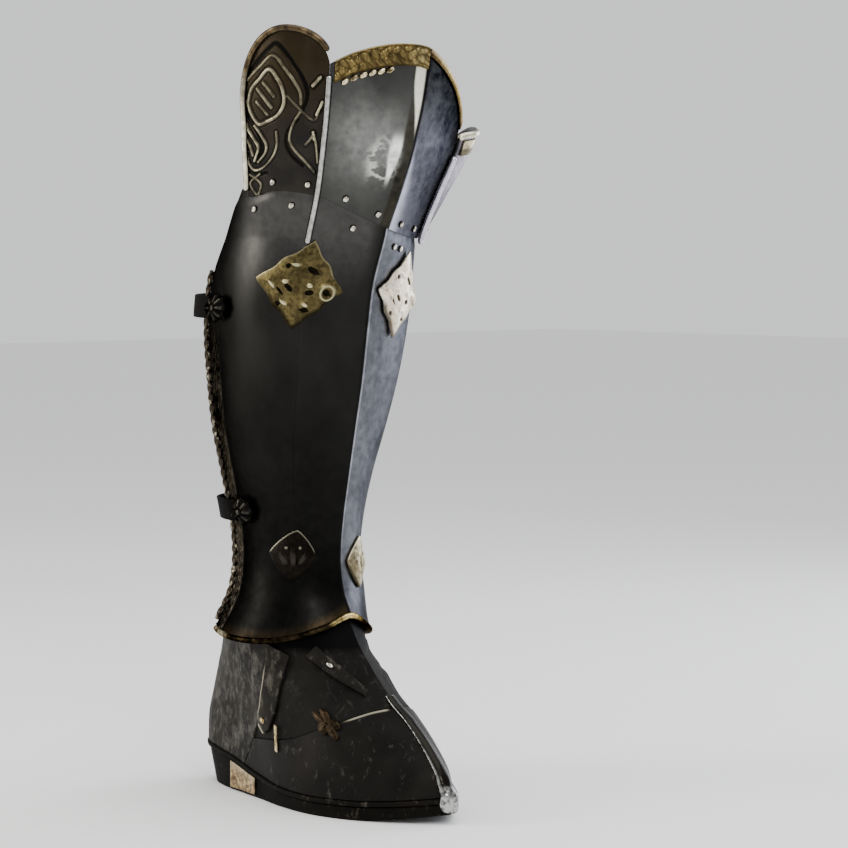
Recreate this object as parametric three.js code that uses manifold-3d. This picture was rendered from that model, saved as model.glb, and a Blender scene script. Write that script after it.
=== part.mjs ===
// Greave for a right leg with its riveted knee flare, standing on the armoured leather boot it is worn over.
// Millimetres, +Z up. The toe points to -Y and the outer side of the leg is -X.
// The origin lies on the floor under the ankle.
import * as THREE from "three";
import Module from "manifold-3d";
import { mergeVertices } from "three/addons/utils/BufferGeometryUtils.js";

const wasm = await Module();
wasm.setup();

// Greave: heights over the floor, and full widths and depths of the leg that it wraps
const HEM_HEIGHT = 130;
const HEM_ARCH = 20;
const SEAM_HEIGHT = 455;
const SEAM_SLANT = 36;
const KNEE_RISE = 127;
const PEAK_HEIGHT = SEAM_HEIGHT + KNEE_RISE;
const CALF_WIDTH = 158;
const CALF_DEPTH = 180;
const KNEE_WIDTH = 190;
const KNEE_DEPTH = 200;
const FLANK_BULGE = 3.5;
const JOIN_TURN = 47;
const BACK_TURN = 111;
const STEEL_WALL = 1.8;
const SEAT_GAP = 0.45;
const TRIM_GAP = 0.7;
const SHAFT_CLEARANCE = 0.8;
const ROLL_CLEARANCE = 1.3;
const BUTT_GAP = 0.3;
const SEAM_OVERLAP = 14;
const KNEE_PROUD = 1.2;
const BACK_DROP = 52;

// Knee wings: the tall outer lobe and the lower inner one, which both flare away from the knee
const WING_TURN = 88;
const LOBE_TURN = 66;
const OUTER_PEAK_SHARE = 1.094;
const OUTER_PEAK = SEAM_HEIGHT + KNEE_RISE * OUTER_PEAK_SHARE;
const OUTER_FRONT_DROP = 30;
const OUTER_BACK_DROP = 56;
const OUTER_FLARE = 6;
const OUTER_FLARE_TURN = 19;
const OUTER_FLARE_POWER = 1.5;
const INNER_PEAK_SHARE = 0.575;
const INNER_PEAK = SEAM_HEIGHT + KNEE_RISE * INNER_PEAK_SHARE;
const INNER_FRONT_DROP = 20;
const INNER_BACK_DROP = 38;
const INNER_FLARE = 14;
const INNER_FLARE_TURN = 9;
const INNER_FLARE_POWER = 0.35;

// Trim
const RIB_RADIUS = 2.6;
const RIM_RADIUS = 2.6;
const ROPE_RADIUS = 2.7;
const ROPE_LAY = 26;
const HEM_ROLL_RADIUS = 2.5;
const TRIM_SHEET = 1.2;
const FRONT_BAND = 16;
const EDGE_BAND = 6;
const WING_BAND = 11;
const BEAD_RADIUS = 2.4;
const BEAD_COUNT = 6;
const RIVET_RADIUS = 2.6;
const RIVET_HEIGHT = 1.7;
const RIVET_INSET = 7;
const KNEE_RIVETS = [-72, -52.5, -31, -9.5, 11, 31, 56, 80];
const SHIN_RIVETS = [-83, -60, -22, 12, 20, 70];
const RIM_TOP_SHARE = 0.5;
const CREST_MARGIN = 1.2;
const BEADS_FROM = -42;
const BEADS_TO = -17;
const ROPE_FLAT = 0.72;

// Diamond mounts and rosettes
const UPPER_MOUNT_DROP = 50;
const UPPER_MOUNT_HEIGHT = SEAM_HEIGHT - UPPER_MOUNT_DROP;
const UPPER_MOUNT_WIDTH = 68;
const UPPER_MOUNT_TALL = 66;
const LOWER_MOUNT_RISE = 64;
const LOWER_MOUNT_HEIGHT = HEM_HEIGHT + LOWER_MOUNT_RISE;
const LOWER_MOUNT_WIDTH = 38;
const LOWER_MOUNT_TALL = 41;
const MOUNT_EDGE = 1.2;
const MOUNT_CROWN = 2.8;
const MOUNT_TILT = 15;
const UPPER_STRAP_DROP = 68;
const UPPER_STRAP_HEIGHT = SEAM_HEIGHT - UPPER_STRAP_DROP;
const LOWER_STRAP_RISE = 98;
const LOWER_STRAP_HEIGHT = HEM_HEIGHT + LOWER_STRAP_RISE;
const INNER_MOUNT_DROP = 8;
const INNER_MOUNT_TURN = 27;
const INNER_MOUNT_SHARE = 0.82;
const MOUNT_SEAT = 1.7;
const STRAP_SEAT = 1.1;
const UPPER_ROSETTE_RADIUS = 10.5;
const LOWER_ROSETTE_RADIUS = 11;
const ROSETTE_DOME = 4;
const UPPER_ROSETTE_TURN = 97;
const LOWER_ROSETTE_TURN = 90;

// Straps round the open back
const STRAP_WIDTH = 17;
const STRAP_THICKNESS = 2.5;
const BUCKLE_TURN = 92;
const BUCKLE_WIRE = 3;
const BUCKLE_SPAN = 22;

// Boot
const LEATHER = 2.5;
const TOE_REACH = 178;
const HEEL_REACH = 94;
const BALL_WIDTH = 110;
const ANKLE_WIDTH = 92;
const ANKLE_HEIGHT = 120;
const FOOT_TOP = 160;
const SHAFT_TOP = 314;
const HEEL_SOLE = 36;
const TOE_SPRING = 7;
const WELT_THICKNESS = 4;
const WELT_LEDGE = 3;
const QUARTER_PROUD = 1.5;
const CAP_PROUD = 1.2;
const QUARTER_TURN = 111;
const QUARTER_LEAN_TURN = 50;
const CAP_PEAK = 82;
const SPINE_WIDTH = 15;
const SPINE_THICKNESS = 2.4;
const SPINE_FOOT = 9;
const SOLE_LEDGE = 1;
const SOLE_END_TURN = 5;
const HEEL_UNDERCUT = 6;
const HEEL_PLATE_FROM = 108;
const HEEL_PLATE_TO = 127;
const BOOT_STRAP_WIDTH = 17;
const BOOT_STRAP_LOW = 56;
const BOOT_STRAP_HIGH = 120;
const ORNAMENT_SIZE = 30;

// Sections of the leg. rise runs from 0 at the hem to 1 at the knee seam and on to 2 at the crest's peak.
// knee is the share of the knee's size in the size that the other columns are shares of:
// half width, half depth, centre and crest reach. sway moves the section towards the inner side.
const LEG = [
  { rise: -0.03, knee: 0, width: 0.8, depth: 0.82, centre: 0.12, crest: 0.9, sway: -0.06 },
  { rise: 0.0, knee: 0, width: 0.77, depth: 0.79, centre: 0.1, crest: 0.83, sway: -0.05 },
  { rise: 0.031, knee: 0, width: 0.72, depth: 0.745, centre: 0.08, crest: 0.765, sway: -0.04 },
  { rise: 0.065, knee: 0, width: 0.67, depth: 0.71, centre: 0.06, crest: 0.69, sway: -0.02 },
  { rise: 0.11, knee: 0, width: 0.62, depth: 0.675, centre: 0.045, crest: 0.605, sway: 0 },
  { rise: 0.185, knee: 0, width: 0.582, depth: 0.644, centre: 0.044, crest: 0.567, sway: 0 },
  { rise: 0.277, knee: 0, width: 0.608, depth: 0.678, centre: 0.044, crest: 0.6, sway: 0 },
  { rise: 0.385, knee: 0, width: 0.696, depth: 0.756, centre: 0.04, crest: 0.678, sway: 0 },
  { rise: 0.502, knee: 0, width: 0.81, depth: 0.856, centre: 0.011, crest: 0.767, sway: 0 },
  { rise: 0.615, knee: 0, width: 0.885, depth: 0.944, centre: -0.033, crest: 0.856, sway: 0 },
  { rise: 0.738, knee: 0, width: 0.95, depth: 0.99, centre: -0.08, crest: 0.93, sway: 0 },
  { rise: 0.846, knee: 0, width: 0.965, depth: 0.98, centre: -0.14, crest: 1.005, sway: 0 },
  { rise: 0.954, knee: 0, width: 0.935, depth: 0.933, centre: -0.244, crest: 1.156, sway: 0 },
  { rise: 1.157, knee: 0.5, width: 0.908, depth: 0.905, centre: -0.368, crest: 1.284, sway: 0.01 },
  { rise: 1.433, knee: 1, width: 0.93, depth: 0.92, centre: -0.45, crest: 1.37, sway: 0.02 },
  { rise: 1.709, knee: 1, width: 0.99, depth: 0.97, centre: -0.51, crest: 1.48, sway: 0.03 },
  { rise: 1.984, knee: 1, width: 1.02, depth: 1.0, centre: -0.55, crest: 1.55, sway: 0.03 },
  { rise: 2.2, knee: 1, width: 1.03, depth: 1.01, centre: -0.57, crest: 1.58, sway: 0.03 },
];

// The hem arches over the instep: lift is a share of HEM_ARCH.
const HEM = [
  { turn: -130, lift: 0.6 },
  { turn: -105, lift: 0.2 },
  { turn: -78, lift: 0 },
  { turn: -48, lift: 0.08 },
  { turn: -22, lift: 0.5 },
  { turn: 0, lift: 0.95 },
  { turn: 22, lift: 0.5 },
  { turn: 48, lift: 0.05 },
  { turn: 80, lift: -0.2 },
  { turn: 130, lift: -0.1 },
];

// The seam falls from the outer side to the inner side: lift is a share of SEAM_SLANT.
const SEAM = [
  { turn: -130, lift: 0.45 },
  { turn: -92, lift: 0.44 },
  { turn: -70, lift: 0.58 },
  { turn: -48, lift: 0.48 },
  { turn: -24, lift: 0.12 },
  { turn: 0, lift: -0.2 },
  { turn: 24, lift: -0.36 },
  { turn: 48, lift: -0.4 },
  { turn: 92, lift: -0.25 },
  { turn: 130, lift: -0.2 },
];

// Top edge of the knee plate: lift is a share of the rise from the seam to the crest's peak.
const KNEE_TOP = [
  { turn: -48, lift: 0.89 },
  { turn: -43, lift: 0.925 },
  { turn: -36, lift: 0.965 },
  { turn: -24, lift: 1.005 },
  { turn: -12, lift: 1.02 },
  { turn: 0, lift: 1.0 },
  { turn: 24, lift: 0.83 },
  { turn: 48, lift: 0.56 },
];

// Outline of the foot from the toe at turn 0 to the heel at 180: width is a share of half the ball's width.
const FOOT = [
  { turn: 0, width: 0 },
  { turn: 15, width: 0.13 },
  { turn: 30, width: 0.38 },
  { turn: 45, width: 0.65 },
  { turn: 60, width: 0.88 },
  { turn: 75, width: 1.0 },
  { turn: 90, width: 0.96 },
  { turn: 105, width: 0.83 },
  { turn: 120, width: 0.72 },
  { turn: 135, width: 0.66 },
  { turn: 150, width: 0.57 },
  { turn: 165, width: 0.36 },
  { turn: 180, width: 0 },
];

// Levels of the foot, as shares of the ankle's height: how far the ridge reaches towards the toe, how far the
// heel reaches back, how full the foot's own outline is there, and how much of the ankle's round is in it.
const FOOT_LEVELS = [
  { rise: 0.1, toe: 1.0, heel: 0.98, full: 1.0, ankle: 0 },
  { rise: 0.2, toe: 0.985, heel: 0.99, full: 1.0, ankle: 0.02 },
  { rise: 0.31, toe: 0.955, heel: 1.0, full: 0.985, ankle: 0.05 },
  { rise: 0.48, toe: 0.85, heel: 1.0, full: 0.95, ankle: 0.15 },
  { rise: 0.61, toe: 0.745, heel: 0.97, full: 0.9, ankle: 0.35 },
  { rise: 0.7, toe: 0.65, heel: 0.945, full: 0.86, ankle: 0.52 },
  { rise: 0.84, toe: 0.54, heel: 0.89, full: 0.84, ankle: 0.78 },
  { rise: 0.925, toe: 0.485, heel: 0.85, full: 0.84, ankle: 0.92 },
  { rise: 1.075, toe: 0.4, heel: 0.79, full: 0.84, ankle: 1.0 },
  { rise: 1.34, toe: 0.3, heel: 0.7, full: 0.84, ankle: 1.0 },
];

// Top of the sole from the toe at station 0 to the heel at 1, as shares of the heel's thickness,
// and the lift of its underside, as a share of the toe spring.
const SOLE = [
  { station: 0, top: 0.55, spring: 1.0 },
  { station: 0.1, top: 0.47, spring: 0.5 },
  { station: 0.22, top: 0.41, spring: 0 },
  { station: 0.48, top: 0.42, spring: 0 },
  { station: 0.66, top: 0.58, spring: 0 },
  { station: 0.82, top: 0.82, spring: 0 },
  { station: 1, top: 1.0, spring: 0 },
];

// Upper edge of the toe cap, as shares of its peak
const CAP_EDGE = [
  { turn: 0, lift: 1.0 },
  { turn: 30, lift: 0.95 },
  { turn: 55, lift: 0.84 },
  { turn: 80, lift: 0.66 },
  { turn: 110, lift: 0.56 },
];

// Rows of the shin plates between the hem and the seam, closer together where the hem flares
const SHIN_ROWS = [0, 0.035, 0.08, 0.13, 0.19, 0.27, 0.38, 0.51, 0.66, 0.79, 0.88, 0.94, 1];

// Rows of the boot's shaft between its foot and its top, closer together at the ankle
const SHAFT_ROWS = [0, 0.08, 0.16, 0.24, 0.33, 0.45, 0.62, 0.8, 1];

const BRONZE = { color: 0x6b5836, roughness: 0.45, metalness: 0.9 };
const BRASS = { color: 0x8c7846, roughness: 0.42, metalness: 0.9 };
const STEEL = { color: 0x24221f, roughness: 0.38, metalness: 0.6 };
const BRIGHT = { color: 0xb9b5a6, roughness: 0.3, metalness: 0.9 };
const BLACK_LEATHER = { color: 0x1f1c19, roughness: 0.62, metalness: 0.0 };
const GREY_LEATHER = { color: 0x2f2b27, roughness: 0.75, metalness: 0.0 };
const SOLE_LEATHER = { color: 0x17140f, roughness: 0.8, metalness: 0.0 };

const FULL_TURN = 360;
const radians = THREE.MathUtils.degToRad;
const lerp = THREE.MathUtils.lerp;
const clamp = THREE.MathUtils.clamp;

// Value of one column of a table at a place along its key column, on a smooth curve through the rows.
function read(table, key, place, column) {
  const last = table.length - 1;
  const at = clamp(place, table[0][key], table[last][key]);
  const i = clamp(table.findIndex((row) => row[key] >= at) - 1, 0, last - 1);
  const slope = (j) => {
    const a = table[Math.max(j - 1, 0)];
    const b = table[Math.min(j + 1, last)];
    return (b[column] - a[column]) / (b[key] - a[key]);
  };
  const span = table[i + 1][key] - table[i][key];
  const s = (at - table[i][key]) / span;
  const s2 = s * s;
  const s3 = s2 * s;
  return (
    (2 * s3 - 3 * s2 + 1) * table[i][column] +
    (s3 - 2 * s2 + s) * span * slope(i) +
    (3 * s2 - 2 * s3) * table[i + 1][column] +
    (s3 - s2) * span * slope(i + 1)
  );
}

// Sections of the leg with their heights over the floor
const SECTIONS = LEG.map((row) => ({
  ...row,
  height:
    row.rise < 1
      ? lerp(HEM_HEIGHT, SEAM_HEIGHT, row.rise)
      : lerp(SEAM_HEIGHT, PEAK_HEIGHT, row.rise - 1),
}));

function smooth(from, to, at) {
  return THREE.MathUtils.smoothstep(at, from, to);
}

const hem = (turn) => HEM_HEIGHT + HEM_ARCH * read(HEM, "turn", turn, "lift");
const seam = (turn) => SEAM_HEIGHT + SEAM_SLANT * read(SEAM, "turn", turn, "lift");
const kneeTop = (turn) =>
  SEAM_HEIGHT + (PEAK_HEIGHT - SEAM_HEIGHT) * read(KNEE_TOP, "turn", turn, "lift");

// Lobes of the wings: a quarter of an ellipse down to the join line, and another down to the back edge
const WINGS = {
  outer: {
    peak: OUTER_PEAK,
    front: OUTER_FRONT_DROP,
    back: OUTER_BACK_DROP,
    flare: OUTER_FLARE,
    ease: OUTER_FLARE_TURN,
    power: OUTER_FLARE_POWER,
  },
  inner: {
    peak: INNER_PEAK,
    front: INNER_FRONT_DROP,
    back: INNER_BACK_DROP,
    flare: INNER_FLARE,
    ease: INNER_FLARE_TURN,
    power: INNER_FLARE_POWER,
  },
};

function lobeTop(wing, turn) {
  const before = Math.abs(turn) < LOBE_TURN;
  const span = before ? LOBE_TURN - JOIN_TURN : WING_TURN - LOBE_TURN;
  const u = clamp((Math.abs(turn) - LOBE_TURN) / span, -1, 1);
  return wing.peak - (before ? wing.front : wing.back) * (1 - Math.sqrt(1 - u * u));
}

// Top edge of the shin plates: under the knee plates, and falling behind the wings to the back edges
function shinTop(turn) {
  const behind = clamp((Math.abs(turn) - WING_TURN) / (BACK_TURN - WING_TURN), 0, 1);
  return seam(turn) + lerp(SEAM_OVERLAP, -BACK_DROP, behind * behind);
}

const innerTop = (turn) => lobeTop(WINGS.inner, turn);

// Point of the leg's outer surface. turn is 0 at the crest in front, -90 at the outer side and 90 at the
// inner side. Between the crest and the join lines each flank is almost flat, and behind them it is round.
function legPoint(turn, height) {
  const share = (column) => read(SECTIONS, "height", height, column);
  const knee = clamp(share("knee"), 0, 1);
  const halfWidth = lerp(CALF_WIDTH, KNEE_WIDTH, knee) / 2;
  const halfDepth = lerp(CALF_DEPTH, KNEE_DEPTH, knee) / 2;
  const across = halfWidth * share("width");
  const deep = halfDepth * share("depth");
  const centre = halfDepth * share("centre");
  const crest = halfDepth * share("crest");
  const sway = halfWidth * share("sway");
  if (Math.abs(turn) >= JOIN_TURN) {
    const angle = radians(turn);
    return new THREE.Vector3(sway + across * Math.sin(angle), centre - deep * Math.cos(angle), height);
  }
  const joinAngle = radians(JOIN_TURN);
  const joinX = across * Math.sin(joinAngle);
  const joinY = centre - deep * Math.cos(joinAngle);
  const along = Math.abs(turn) / JOIN_TURN;
  const chord = Math.hypot(joinX, joinY + crest);
  const bulge = FLANK_BULGE * 4 * along * (1 - along);
  const x = joinX * along + (bulge * (joinY + crest)) / chord;
  const y = -crest + (joinY + crest) * along - (bulge * joinX) / chord;
  return new THREE.Vector3(sway * along + (turn < 0 ? -x : x), y, height);
}

// Unit normal of a surface given as a function of turn and height, pointing away from the leg.
function normalOf(surface, turn, height) {
  const along = surface(turn + 0.5, height).sub(surface(turn - 0.5, height));
  const up = surface(turn, height + 0.5).sub(surface(turn, height - 0.5));
  return along.cross(up).normalize();
}

function raised(surface, turn, height, offset) {
  return surface(turn, height).addScaledVector(normalOf(surface, turn, height), offset);
}

// The same, moved level, so that it keeps its height.
function spread(surface, turn, height, offset) {
  const out = normalOf(surface, turn, height).setZ(0).normalize();
  return surface(turn, height).addScaledVector(out, offset);
}

// Extra offset of the shin plates, which tuck under the knee plates above the seam.
function tuck(turn, height) {
  const under = STEEL_WALL + SEAT_GAP - KNEE_PROUD;
  return -under * smooth(seam(turn) - SEAM_OVERLAP / 2, seam(turn), height);
}

// Extra offset of a knee wing, growing from the seam to its top.
function flare(turn, height) {
  const wing = turn < 0 ? WINGS.outer : WINGS.inner;
  const up = clamp((height - seam(turn)) / (wing.peak - seam(turn)), 0, 1);
  const round = smooth(JOIN_TURN, JOIN_TURN + wing.ease, Math.abs(turn));
  return KNEE_PROUD + wing.flare * Math.pow(up, wing.power) * round;
}

const shinSurface = (turn, height) => raised(legPoint, turn, height, tuck(turn, height));
const kneeSurface = (turn, height) => raised(legPoint, turn, height, KNEE_PROUD);
const wingSurface = (turn, height) => raised(legPoint, turn, height, flare(turn, height));

// Clearance between the boot and the inside of the greave
const BOOT_INSET = STEEL_WALL + SHAFT_CLEARANCE;
const bootStation = (turn) => (1 - Math.cos(radians(Math.abs(turn)))) / 2;

function footHalfWidth(turn) {
  return (BALL_WIDTH / 2) * read(FOOT, "turn", Math.abs(turn), "width");
}

// Point of the foot's own outline. Between the ridge and the join lines its flanks flatten towards the ankle.
function footPoint(turn, height) {
  const rise = height / ANKLE_HEIGHT;
  const toe = -TOE_REACH * read(FOOT_LEVELS, "rise", rise, "toe");
  const heel = HEEL_REACH * read(FOOT_LEVELS, "rise", rise, "heel");
  const full = read(FOOT_LEVELS, "rise", rise, "full");
  const ankle = read(FOOT_LEVELS, "rise", rise, "ankle");
  const flank = Math.min(Math.abs(turn) / JOIN_TURN, 1);
  const beyond = Math.max(Math.abs(turn), JOIN_TURN);
  const round = (ANKLE_WIDTH / 2) * Math.sin(radians(beyond)) * flank;
  const along = Math.abs(turn) < JOIN_TURN ? bootStation(JOIN_TURN) * flank : bootStation(turn);
  const half = lerp(footHalfWidth(turn) * full, round, ankle);
  const station = lerp(bootStation(turn), along, ankle);
  return new THREE.Vector3(turn < 0 ? -half : half, lerp(toe, heel, station), height);
}

// Boot surface: the foot's outline, kept inside the greave where the greave comes down over it.
function bootPoint(turn, height) {
  const wrapped = turn > FULL_TURN / 2 ? turn - FULL_TURN : turn;
  const point = footPoint(wrapped, height);
  if (height < HEM_HEIGHT - 3 * HEM_ARCH) return point;
  const heading = Math.atan2(Math.abs(point.x), -point.y);
  let low = 0;
  let high = 180;
  for (let k = 0; k < 20; k++) {
    const middle = (low + high) / 2;
    const leg = legPoint(middle, height);
    if (Math.atan2(leg.x, -leg.y) < heading) low = middle;
    else high = middle;
  }
  const inset = BOOT_INSET + QUARTER_PROUD + ROLL_CLEARANCE;
  const leg = legPoint(low, height);
  const room = Math.hypot(leg.x, leg.y) - inset;
  const reach = Math.hypot(point.x, point.y);
  const edge = hem(wrapped < 0 ? -low : low);
  const under = smooth(edge - 2 * HEM_ARCH, edge - 3 * HEM_ROLL_RADIUS, height);
  const share = lerp(1, Math.min(1, room / reach), under);
  return point.multiply(new THREE.Vector3(share, share, 1));
}

function soleTop(turn) {
  return HEEL_SOLE * read(SOLE, "station", bootStation(turn), "top");
}

function soleBottom(turn) {
  return TOE_SPRING * read(SOLE, "station", bootStation(turn), "spring");
}

function capEdge(turn) {
  return CAP_PEAK * read(CAP_EDGE, "turn", Math.abs(turn), "lift");
}

function geometryOf(points, faces) {
  const geometry = new THREE.BufferGeometry();
  geometry.setFromPoints(points);
  geometry.setIndex(faces);
  let volume = 0;
  for (let i = 0; i < faces.length; i += 3) {
    const cross = points[faces[i + 1]].clone().cross(points[faces[i + 2]]);
    volume += points[faces[i]].dot(cross);
  }
  if (volume < 0) faces.reverse();
  geometry.setIndex(faces);
  geometry.computeVertexNormals();
  return geometry;
}

// Closed wall between two grids of points. A looped wall joins its last column to its first.
function wall(columns, rows, front, back, looped = false) {
  const across = looped ? columns : columns + 1;
  const points = [];
  for (const side of [front, back]) {
    for (let j = 0; j <= rows; j++) {
      for (let i = 0; i < across; i++) points.push(side(i / columns, j / rows));
    }
  }
  const at = (side, i, j) => (side * (rows + 1) + j) * across + (i % across);
  const faces = [];
  const quad = (a, b, c, d) => faces.push(a, b, c, a, c, d);
  for (let i = 0; i < columns; i++) {
    for (let j = 0; j < rows; j++) {
      quad(at(0, i, j), at(0, i + 1, j), at(0, i + 1, j + 1), at(0, i, j + 1));
      quad(at(1, i, j), at(1, i, j + 1), at(1, i + 1, j + 1), at(1, i + 1, j));
    }
    quad(at(0, i, 0), at(1, i, 0), at(1, i + 1, 0), at(0, i + 1, 0));
    quad(at(0, i, rows), at(0, i + 1, rows), at(1, i + 1, rows), at(1, i, rows));
  }
  for (let j = 0; j < rows && !looped; j++) {
    quad(at(0, 0, j), at(0, 0, j + 1), at(1, 0, j + 1), at(1, 0, j));
    quad(at(0, columns, j), at(1, columns, j), at(1, columns, j + 1), at(0, columns, j + 1));
  }
  return geometryOf(points, faces);
}

// Sheet on a surface between two side edges, which give a turn at a height. stops gives the heights of its
// rows at a turn. middle is the height at which the rows are laid out. lift moves a point off the surface.
function sheet({ surface, from, to, stops, outer = 0, thickness, columns, middle = 0, lift = raised }) {
  const rows = stops(from(middle)).length - 1;
  const layer = (offset) => (s, t) => {
    let height = middle;
    for (let k = 0; k < 4; k++) height = stops(lerp(from(height), to(height), s))[Math.round(t * rows)];
    return lift(surface, lerp(from(height), to(height), s), height, offset);
  };
  return wall(columns, rows, layer(outer), layer(outer - thickness));
}

// Ribbon along a path on a surface; its width may change along the path.
function ribbon({ surface, place, width, lift, thickness, columns = 2, rows }) {
  const layer = (offset) => (s, t) => {
    const { turn, height } = place(t);
    const ahead = place(Math.min(t + 0.01, 1));
    const behind = place(Math.max(t - 0.01, 0));
    const perTurn = 1 / turnsFor(surface, turn, height, 1);
    const run = new THREE.Vector2((ahead.turn - behind.turn) * perTurn, ahead.height - behind.height);
    run.normalize();
    const aside = (s - 0.5) * width(t);
    const atTurn = turn + (run.y * aside) / perTurn;
    return raised(surface, atTurn, height - run.x * aside, offset);
  };
  return wall(columns, rows, layer(lift + thickness), layer(lift));
}

// Rows spread evenly between two edges that follow the turn.
function evenly(low, high, rows) {
  const shares = Array.from({ length: rows + 1 }, (_, k) => k / rows);
  return (turn) => shares.map((share) => lerp(low(turn), high(turn), share));
}

// Bar along a path. The path gives a point and the two directions across the bar; the section's two radii
// turn once in every lay, which twists the bar like a rope.
function bar({ path, steps, sides, radius, flat = 1, lay = Infinity }) {
  const points = [];
  let run = 0;
  let before = path(0).point;
  for (let j = 0; j <= steps; j++) {
    const { point, out, side } = path(j / steps);
    run += point.distanceTo(before);
    before = point;
    const twist = (run / lay) * Math.PI * 2;
    for (let i = 0; i < sides; i++) {
      const angle = (i / sides) * Math.PI * 2;
      const reach = radius * (1 - (1 - flat) * Math.pow(Math.sin(angle - twist), 2));
      points.push(
        point
          .clone()
          .addScaledVector(out, reach * Math.cos(angle))
          .addScaledVector(side, reach * Math.sin(angle)),
      );
    }
  }
  const faces = [];
  for (let j = 0; j < steps; j++) {
    for (let i = 0; i < sides; i++) {
      const a = j * sides + i;
      const b = j * sides + ((i + 1) % sides);
      faces.push(a, b, b + sides, a, b + sides, a + sides);
    }
  }
  const last = steps * sides;
  for (let i = 1; i < sides - 1; i++) {
    faces.push(0, i + 1, i, last, last + i, last + i + 1);
  }
  return geometryOf(points, faces);
}

// Path on a surface, given as turn and height of a share, lifted off it and moved sideways along it.
function surfacePath(surface, place, lift, aside = 0) {
  return (s) => {
    const { turn, height } = place(s);
    const out = normalOf(surface, turn, height);
    const a = place(Math.max(s - 0.01, 0));
    const b = place(Math.min(s + 0.01, 1));
    const run = surface(b.turn, b.height).sub(surface(a.turn, a.height)).normalize();
    const side = run.clone().cross(out).normalize();
    const point = surface(turn, height).addScaledVector(out, lift).addScaledVector(side, aside);
    return { point, out, side };
  };
}

// Curved plate laid on a surface round a centre. outline gives its reach at an angle, crown its height
// over the edge at a share of that reach.
function boss({ surface, turn, height, outline, lift, edge, crown, rings, segments }) {
  const perTurn = surface(turn + 1, height).distanceTo(surface(turn - 1, height)) / 2;
  const place = (share, angle, offset) => {
    const reach = share * outline(angle);
    const atTurn = turn + (reach * Math.cos(angle)) / perTurn;
    return raised(surface, atTurn, height + reach * Math.sin(angle), offset);
  };
  const points = [place(0, 0, lift + edge + crown), place(0, 0, lift)];
  for (const front of [true, false]) {
    for (let k = 1; k <= rings; k++) {
      for (let i = 0; i < segments; i++) {
        const share = k / rings;
        const angle = (i / segments) * Math.PI * 2;
        const thick = front ? edge + crown * (1 - share * share) : 0;
        points.push(place(share, angle, lift + thick));
      }
    }
  }
  const at = (front, k, i) => 2 + ((front ? 0 : rings) + k - 1) * segments + (i % segments);
  const faces = [];
  for (let i = 0; i < segments; i++) {
    faces.push(0, at(true, 1, i), at(true, 1, i + 1));
    faces.push(1, at(false, 1, i + 1), at(false, 1, i));
    for (let k = 1; k < rings; k++) {
      faces.push(at(true, k, i), at(true, k + 1, i), at(true, k + 1, i + 1));
      faces.push(at(true, k, i), at(true, k + 1, i + 1), at(true, k, i + 1));
      faces.push(at(false, k, i), at(false, k + 1, i + 1), at(false, k + 1, i));
      faces.push(at(false, k, i), at(false, k, i + 1), at(false, k + 1, i + 1));
    }
    faces.push(at(true, rings, i), at(false, rings, i), at(false, rings, i + 1));
    faces.push(at(true, rings, i), at(false, rings, i + 1), at(true, rings, i + 1));
  }
  return geometryOf(points, faces);
}

// Diamond outline, leaning by a tilt, with a small cusp at each corner and in the middle of each side.
function diamond(halfWidth, halfTall, tilt) {
  return (angle) => {
    const own = angle + tilt;
    const c = Math.abs(Math.cos(own)) / halfWidth;
    const s = Math.abs(Math.sin(own)) / halfTall;
    return (1 + 0.035 * Math.cos(8 * own)) / (c + s);
  };
}

// Round stud standing on a surface: its profile runs from the middle of its back to its top.
function stud(surface, turn, height, lift, profile, sides) {
  const geometry = new THREE.LatheGeometry(
    profile.map(([radius, up]) => new THREE.Vector2(radius, up)),
    sides,
  );
  const out = normalOf(surface, turn, height);
  geometry.applyQuaternion(new THREE.Quaternion().setFromUnitVectors(new THREE.Vector3(0, 1, 0), out));
  const point = surface(turn, height).addScaledVector(out, lift);
  geometry.translate(point.x, point.y, point.z);
  return geometry;
}

function solidOf(geometry) {
  const bare = geometry.clone();
  bare.deleteAttribute("normal");
  bare.deleteAttribute("uv");
  const merged = mergeVertices(bare, 1e-4);
  return new wasm.Manifold(
    new wasm.Mesh({
      numProp: 3,
      vertProperties: new Float32Array(merged.attributes.position.array),
      triVerts: new Uint32Array(merged.index.array),
    }),
  );
}

function geometryOfSolid(solid) {
  const mesh = solid.getMesh();
  const geometry = new THREE.BufferGeometry();
  geometry.setAttribute("position", new THREE.BufferAttribute(mesh.vertProperties, 3));
  geometry.setIndex(new THREE.BufferAttribute(mesh.triVerts, 1));
  geometry.computeVertexNormals();
  return geometry;
}

const fuse = (parts) => geometryOfSolid(parts.map(solidOf).reduce((a, b) => a.add(b)));

const greave = new THREE.Group();
greave.name = "greave_on_boot";

function add(name, geometry, finish) {
  const mesh = new THREE.Mesh(geometry, new THREE.MeshStandardMaterial(finish));
  mesh.name = name;
  greave.add(mesh);
}

const SIDES = [
  { name: "outer", sign: -1 },
  { name: "inner", sign: 1 },
];

// Degrees of turn that a length covers along a surface.
function turnsFor(surface, turn, height, length) {
  return length / surface(turn + 0.5, height).distanceTo(surface(turn - 0.5, height));
}

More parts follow.
